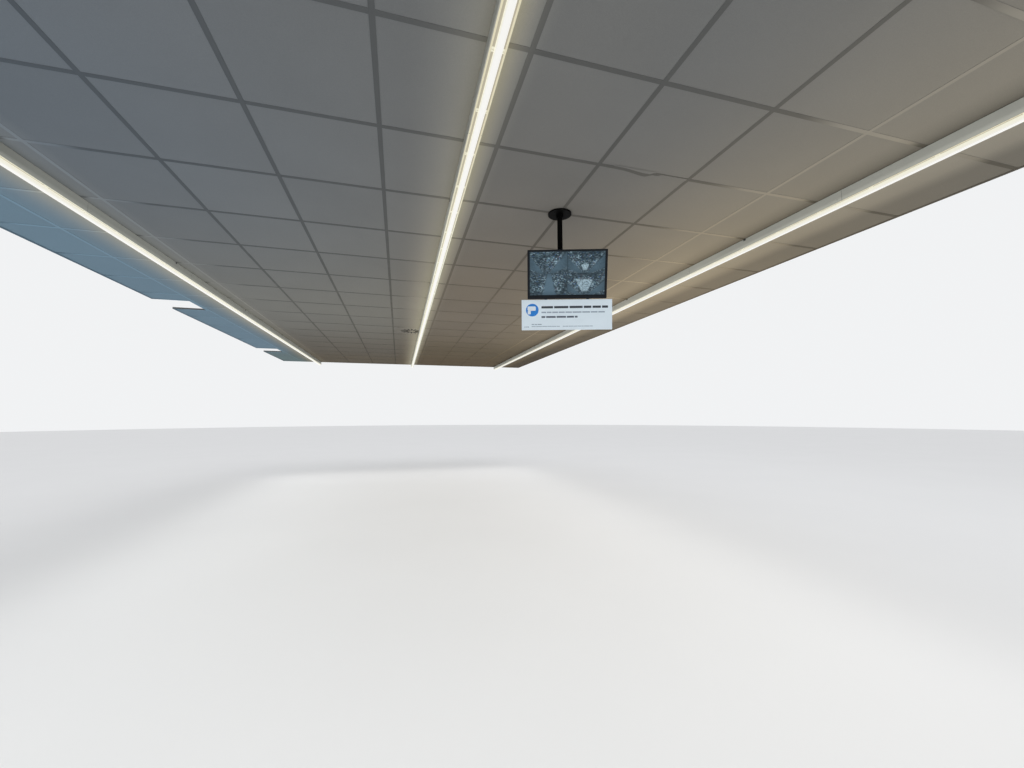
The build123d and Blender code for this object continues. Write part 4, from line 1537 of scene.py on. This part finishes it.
across = maths(tree, "SUBTRACT", u, by_view(0.52, 0.46, 0.45, 0.47))
away = maths(tree, "SUBTRACT", v, by_view(1.35, -0.12, -0.15, -0.10))
away = times(tree, away, by_view(-1, 1, 1, 1))
bearing = maths(tree, "ARCTAN2", across, away)
squares = maths(tree, "ADD", times(tree, across, across), times(tree, away, away))
distance = maths(tree, "SQRT", squares)
aside = maths(tree, "ABSOLUTE", bearing)
aisle_half = by_view(0.13, 0.20, 0.22, 0.24)
past_aisle = maths(tree, "SUBTRACT", off(aside, by_view(0.0, 0.80, 0.66, 0.74)), aisle_half)
on_aisle = remap(tree, past_aisle, -0.03, 0.03, 1, 0)
print("four views laid out")

# %% [markdown]
# Boxes are cells of a Voronoi texture in bearing and the logarithm of the distance: a few
# are bright, blue or warm, most are dark. The fronts of the stacks beside an aisle catch
# its light, and broad patches of gloom lie over the rest.

# %% Picture: boxes and floors
rows = maths(tree, "LOGARITHM", maths(tree, "ADD", distance, 0.08), 2.0)
on_stack = add(tree, "ShaderNodeCombineXYZ", {
    0: times(tree, bearing, 27.0), 1: times(tree, rows, 17.0),
    2: maths(tree, "ADD", times(tree, on_right, 7.0), on_top)}).outputs[0]
cells = add(tree, "ShaderNodeTexVoronoi", {"Vector": on_stack, "Scale": 1.0}, distance="CHEBYCHEV")
boxes = add(tree, "ShaderNodeSeparateColor", {0: cells.outputs["Color"]})
haze = noise(tree, on_stack, 0.6, 6.0)
stack_dark = (0.006, 0.020, 0.030, 1)
stack_pale = (0.140, 0.240, 0.290, 1)
box_bright = (0.340, 0.490, 0.580, 1)
box_warm = (0.200, 0.140, 0.170, 1)
box_blue = (0.030, 0.110, 0.360, 1)
floor_dim = (0.024, 0.056, 0.078, 1)
floor_bright = (0.100, 0.175, 0.235, 1)
stacks = blend_colour(tree, remap(tree, haze, 0.42, 0.68), stack_dark, stack_pale)
for channel, rare, share, colour in (
        (2, 0.90, 0.5, box_blue), (1, 0.93, 0.45, box_warm), (0, 0.84, 0.75, box_bright)):
    chosen = maths(tree, "GREATER_THAN", boxes.outputs[channel], rare)
    stacks = blend_colour(tree, times(tree, chosen, share), stacks, colour)
stack_front = times(
    tree, remap(tree, past_aisle, 0.02, 0.05), remap(tree, past_aisle, 0.08, 0.12, 1, 0),
    remap(tree, haze, 0.44, 0.60, 0.0, 0.7))
stacks = blend_colour(tree, stack_front, stacks, box_bright)
gloom = remap(tree, noise(tree, on_stack, 0.17, 2.0), 0.42, 0.60, 0.70, 0.0)
stacks = blend_colour(tree, gloom, stacks, stack_dark)
floor_tone = blend_colour(tree, haze, floor_dim, floor_bright)
floor_tone = blend_colour(tree, by_view(0.55, 0.15, 0.1, 0.0), floor_tone, floor_bright)
seen = blend_colour(tree, on_aisle, stacks, floor_tone)
print("boxes and floors ready")

# %% [markdown]
# A pale display stands between the aisles of both right views. Every view is darker towards
# its edges, as a cheap lens makes it, and a thin dark border parts it from the next one. The
# picture is light, not paint, so it goes to the emission.

# %% Picture: displays and borders
display_pale = (0.430, 0.590, 0.680, 1)
beside = maths(tree, "SUBTRACT", aside, by_view(0.0, 0.24, 0.0, 0.17))
display_end = by_view(0, 0.82, 0, 0.48), by_view(0.1, 0.88, 0.1, 0.54)
display_start = by_view(0, 0.26, 0, 0.22), by_view(0.1, 0.32, 0.1, 0.26)
display = times(
    tree, remap(tree, beside, 0.0, 0.06, 1, 0), remap(tree, distance, *display_end, 1, 0),
    remap(tree, distance, *display_start), by_view(0.0, 0.8, 0.0, 0.9),
    remap(tree, haze, 0.38, 0.58, 0.35, 1.0))
seen = blend_colour(tree, display, seen, display_pale)
from_middle = maths(tree, "MAXIMUM", off(u, 0.5), off(v, 0.5))
seen = blend_colour(tree, remap(tree, from_middle, 0.25, 0.50, 0.0, 0.45), seen, stack_dark)
border = maths(tree, "GREATER_THAN", from_middle, 0.495)
seen = blend_colour(tree, border, seen, stack_dark)
tree.links.new(seen, shader.inputs["Emission Color"])
shader.inputs["Emission Strength"].default_value = 0.85
shader.inputs["Specular IOR Level"].default_value = 0.2
print("picture ready")

# %% [markdown]
# The glass is a thin plate with a small bevel in front. The plate is made upright, so the
# UV map comes from its own x and z before it is turned to its place.

# %% Glass
flat_glass = skin(upright_rings([
    round_glass(glass_high[1], 0, 1.2 * mm), round_glass(glass_low[1] + 0.3 * mm, 0, 1.2 * mm),
    round_glass(glass_low[1], -0.3 * mm, 1.0 * mm)]))
glass = piece(
    "screen_face", moved(flat_glass, screen_axes), picture, "screen")
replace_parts(glass, "screen_glass")
corner = np.zeros(len(glass.data.loops), int)
glass.data.loops.foreach_get("vertex_index", corner)
share = ((flat_glass[0] - glass_low) / glass_size)[:, [0, 2]]
uv_layer = glass.data.uv_layers.new(name="picture")
uv_layer.data.foreach_set("uv", share[corner].ravel())

# %% [markdown]
# ## The notice board
# The board is a printed sheet. Its print is a blue disc with a pale sign on it, one bold
# line, two thinner ones and small print. Here every word is a plain bar, and the sign is a
# plain shape: the rhythm of a notice, with nothing to read. The prints are thin raised
# shapes, one piece a colour.

# %% Board prints
board_axes = screen_axes @ Matrix.Translation((0, back, case_low[2] - 5.5 * mm))
board_axes = board_axes @ Matrix.Rotation(math.radians(board_tilt - screen_tilt), 4, "X")
board_low, board_high = own_box("notice_board", board_axes)
board_width = board_high[0] - board_low[0]
board_height = board_high[2] - board_low[2]
print_thickness = 0.15 * mm
words = np.random.default_rng(7)


def mark(left, top, width, height, radius_share=0.16, layer=1):
    """A raised rounded bar, from its place as shares of the board's width and height."""
    wide, tall = width * board_width, height * board_height
    outline = rectangle_at(
        board_low[0] + left * board_width + wide / 2, board_high[2] - top * board_height - tall / 2,
        wide, tall, min(wide, tall) * radius_share)
    face = board_low[1] - print_thickness * layer
    return skin(upright_rings([(face, outline), (board_low[1] + 0.2 * mm, outline)]))


def line_of_words(left, right, top, height, longest):
    """Bars of uneven length with gaps, like the words of one line."""
    bars = []
    at = left
    while at < right - longest * 0.2:
        length = min(longest * words.uniform(0.35, 1.0), right - at)
        bars.append(mark(at, top, length, height))
        at += length + height * 0.16
    return joined(*bars)


disc_left, disc_top, disc_size = 0.047, 0.125, 0.142
disc_tall = disc_size * board_width / board_height
prints = {
    "blue": ((0.004, 0.178, 0.560, 1), [mark(disc_left, disc_top, disc_size, disc_tall, 0.499)]),
    "white": ((0.640, 0.710, 0.770, 1), [
        mark(disc_left + 0.018, disc_top + 0.090, 0.092, 0.145, 0.25, 2),
        mark(disc_left + 0.020, disc_top + 0.236, 0.034, 0.115, 0.20, 2)]),
    "black": ((0.020, 0.028, 0.040, 1), [line_of_words(0.220, 0.955, 0.212, 0.074, 0.17)]),
    "dark": ((0.075, 0.095, 0.125, 1), [line_of_words(0.220, 0.620, 0.540, 0.060, 0.12)]),
    "grey": ((0.270, 0.330, 0.390, 1), [
        line_of_words(0.220, 0.920, 0.395, 0.046, 0.10),
        line_of_words(0.110, 0.235, 0.800, 0.030, 0.06),
        line_of_words(0.030, 0.080, 0.880, 0.030, 0.03),
        line_of_words(0.110, 0.430, 0.870, 0.022, 0.07),
        line_of_words(0.455, 0.790, 0.870, 0.022, 0.07)]),
}
for name, (colour, marks) in prints.items():
    ink = moulded(f"ink_{name}", colour, 0.28, 0.42)
    piece(f"board_print_{name}", moved(joined(*marks), board_axes), ink, "screen")

# %% [markdown]
# Two screws a strap hold the board and the screen's lower edge. They show from behind.

# %% Strap screws
straps_low, straps_high = own_box("board_straps", screen_axes)
strap_x = [straps_low[0] + 10 * mm, straps_high[0] - 10 * mm]
strap_screw = screw_head(3.6 * mm, 2 * mm, (0, 1, 0))
upper = [(x, back + 3 * mm, case_low[2] + z * mm) for x in strap_x for z in (12, 34)]
lower = [(x, 3 * mm, z * mm) for x in strap_x for z in (-30, -110)]
strap_screws = joined(
    moved(repeated(strap_screw, upper), screen_axes),
    moved(repeated(strap_screw, lower), board_axes))
piece("strap_screws", strap_screws, screw_zinc, "screen", smooth=True)

# %% [markdown]
# ## Floor, air and lamps
# The ceiling is seen against a plain pale floor in soft light. The floor is a wide round
# plate. The world adds even light from all around. The camera sees it as plain white, which
# is chosen with Light Path and adds no light.

# %% Floor and world
floor_z = ceiling_z - 3.09
floor_radius = 60.0
floor_grey = (0.78, 0.78, 0.77, 1)
floor_finish, tree, shader = finish_of("pale_floor", floor_grey, 0.8)
cloud = use(tree, cloudiness, "Shade", Scale=0.6, Amount=0.02)
tree.links.new(dimmed(tree, floor_grey, cloud), shader.inputs["Base Color"])
floor_shape = turned([(floor_radius, floor_z - 0.05), (floor_radius, floor_z)], 96)
floor = mesh_object("pale_floor", floor_shape, floor_finish)

world = bpy.data.worlds.new("soft_air")
world.use_nodes = True
tree = world.node_tree
tree.nodes.clear()
path = add(tree, "ShaderNodeLightPath")
seen_plain = path.outputs["Is Camera Ray"]
for ray in ("Is Transmission Ray", "Is Glossy Ray"):
    seen_plain = maths(tree, "MAXIMUM", seen_plain, path.outputs[ray])
air_light = (0.86, 0.87, 0.90, 1)
air_seen = (0.88, 0.89, 0.90, 1)
air = blend_colour(tree, seen_plain, air_light, air_seen)
ground = add(tree, "ShaderNodeBackground", {"Color": air, "Strength": 1.0})
add(tree, "ShaderNodeOutputWorld", {"Surface": ground.outputs[0]})
bpy.context.scene.world = world
bpy.context.scene.view_settings.view_transform = "Standard"
print("floor at", round(floor_z, 3))

# %% [markdown]
# Most of the ceiling is lit from below, by a wide soft lamp just over the floor that the
# camera can't see, because that is the side that shows in use. A second one lights the
# floor, which the ceiling would leave dim, a third one stands in front, and a weak fourth
# one hangs above, for the works over the tiles.

# %% Lamps
x, y, _ = (hall_low + hall_high) / 2


def soft_lamp(name, place, aim, size, power):
    """A wide area lamp that the camera can't see."""
    data = bpy.data.lights.new(name, "AREA")
    data.shape = "RECTANGLE"
    data.size, data.size_y = size
    data.energy = power
    lamp = bpy.data.objects.new(name, data)
    lamp.location = place
    lamp.rotation_euler = (Vector(aim) - Vector(place)).to_track_quat("-Z", "Y").to_euler()
    lamp.visible_camera = False
    lamp.visible_glossy = False
    bpy.context.scene.collection.objects.link(lamp)


soft_lamp("lamp_below", (x, y, floor_z + 0.05), (x, y, 0), (14.0, 20.0), 155)
soft_lamp("lamp_on_floor", (x, y, floor_z + 1.0), (x, y, floor_z), (7.0, 12.0), 150)
soft_lamp("lamp_in_front", (x, y - 16, -1.6), (x, y, -0.9), (12.0, 2.6), 350)
soft_lamp("lamp_above", (x + 3, y - 4, 9.0), (x, y, 0), (8.0, 8.0), 300)
print("lamps", len(bpy.data.lights))
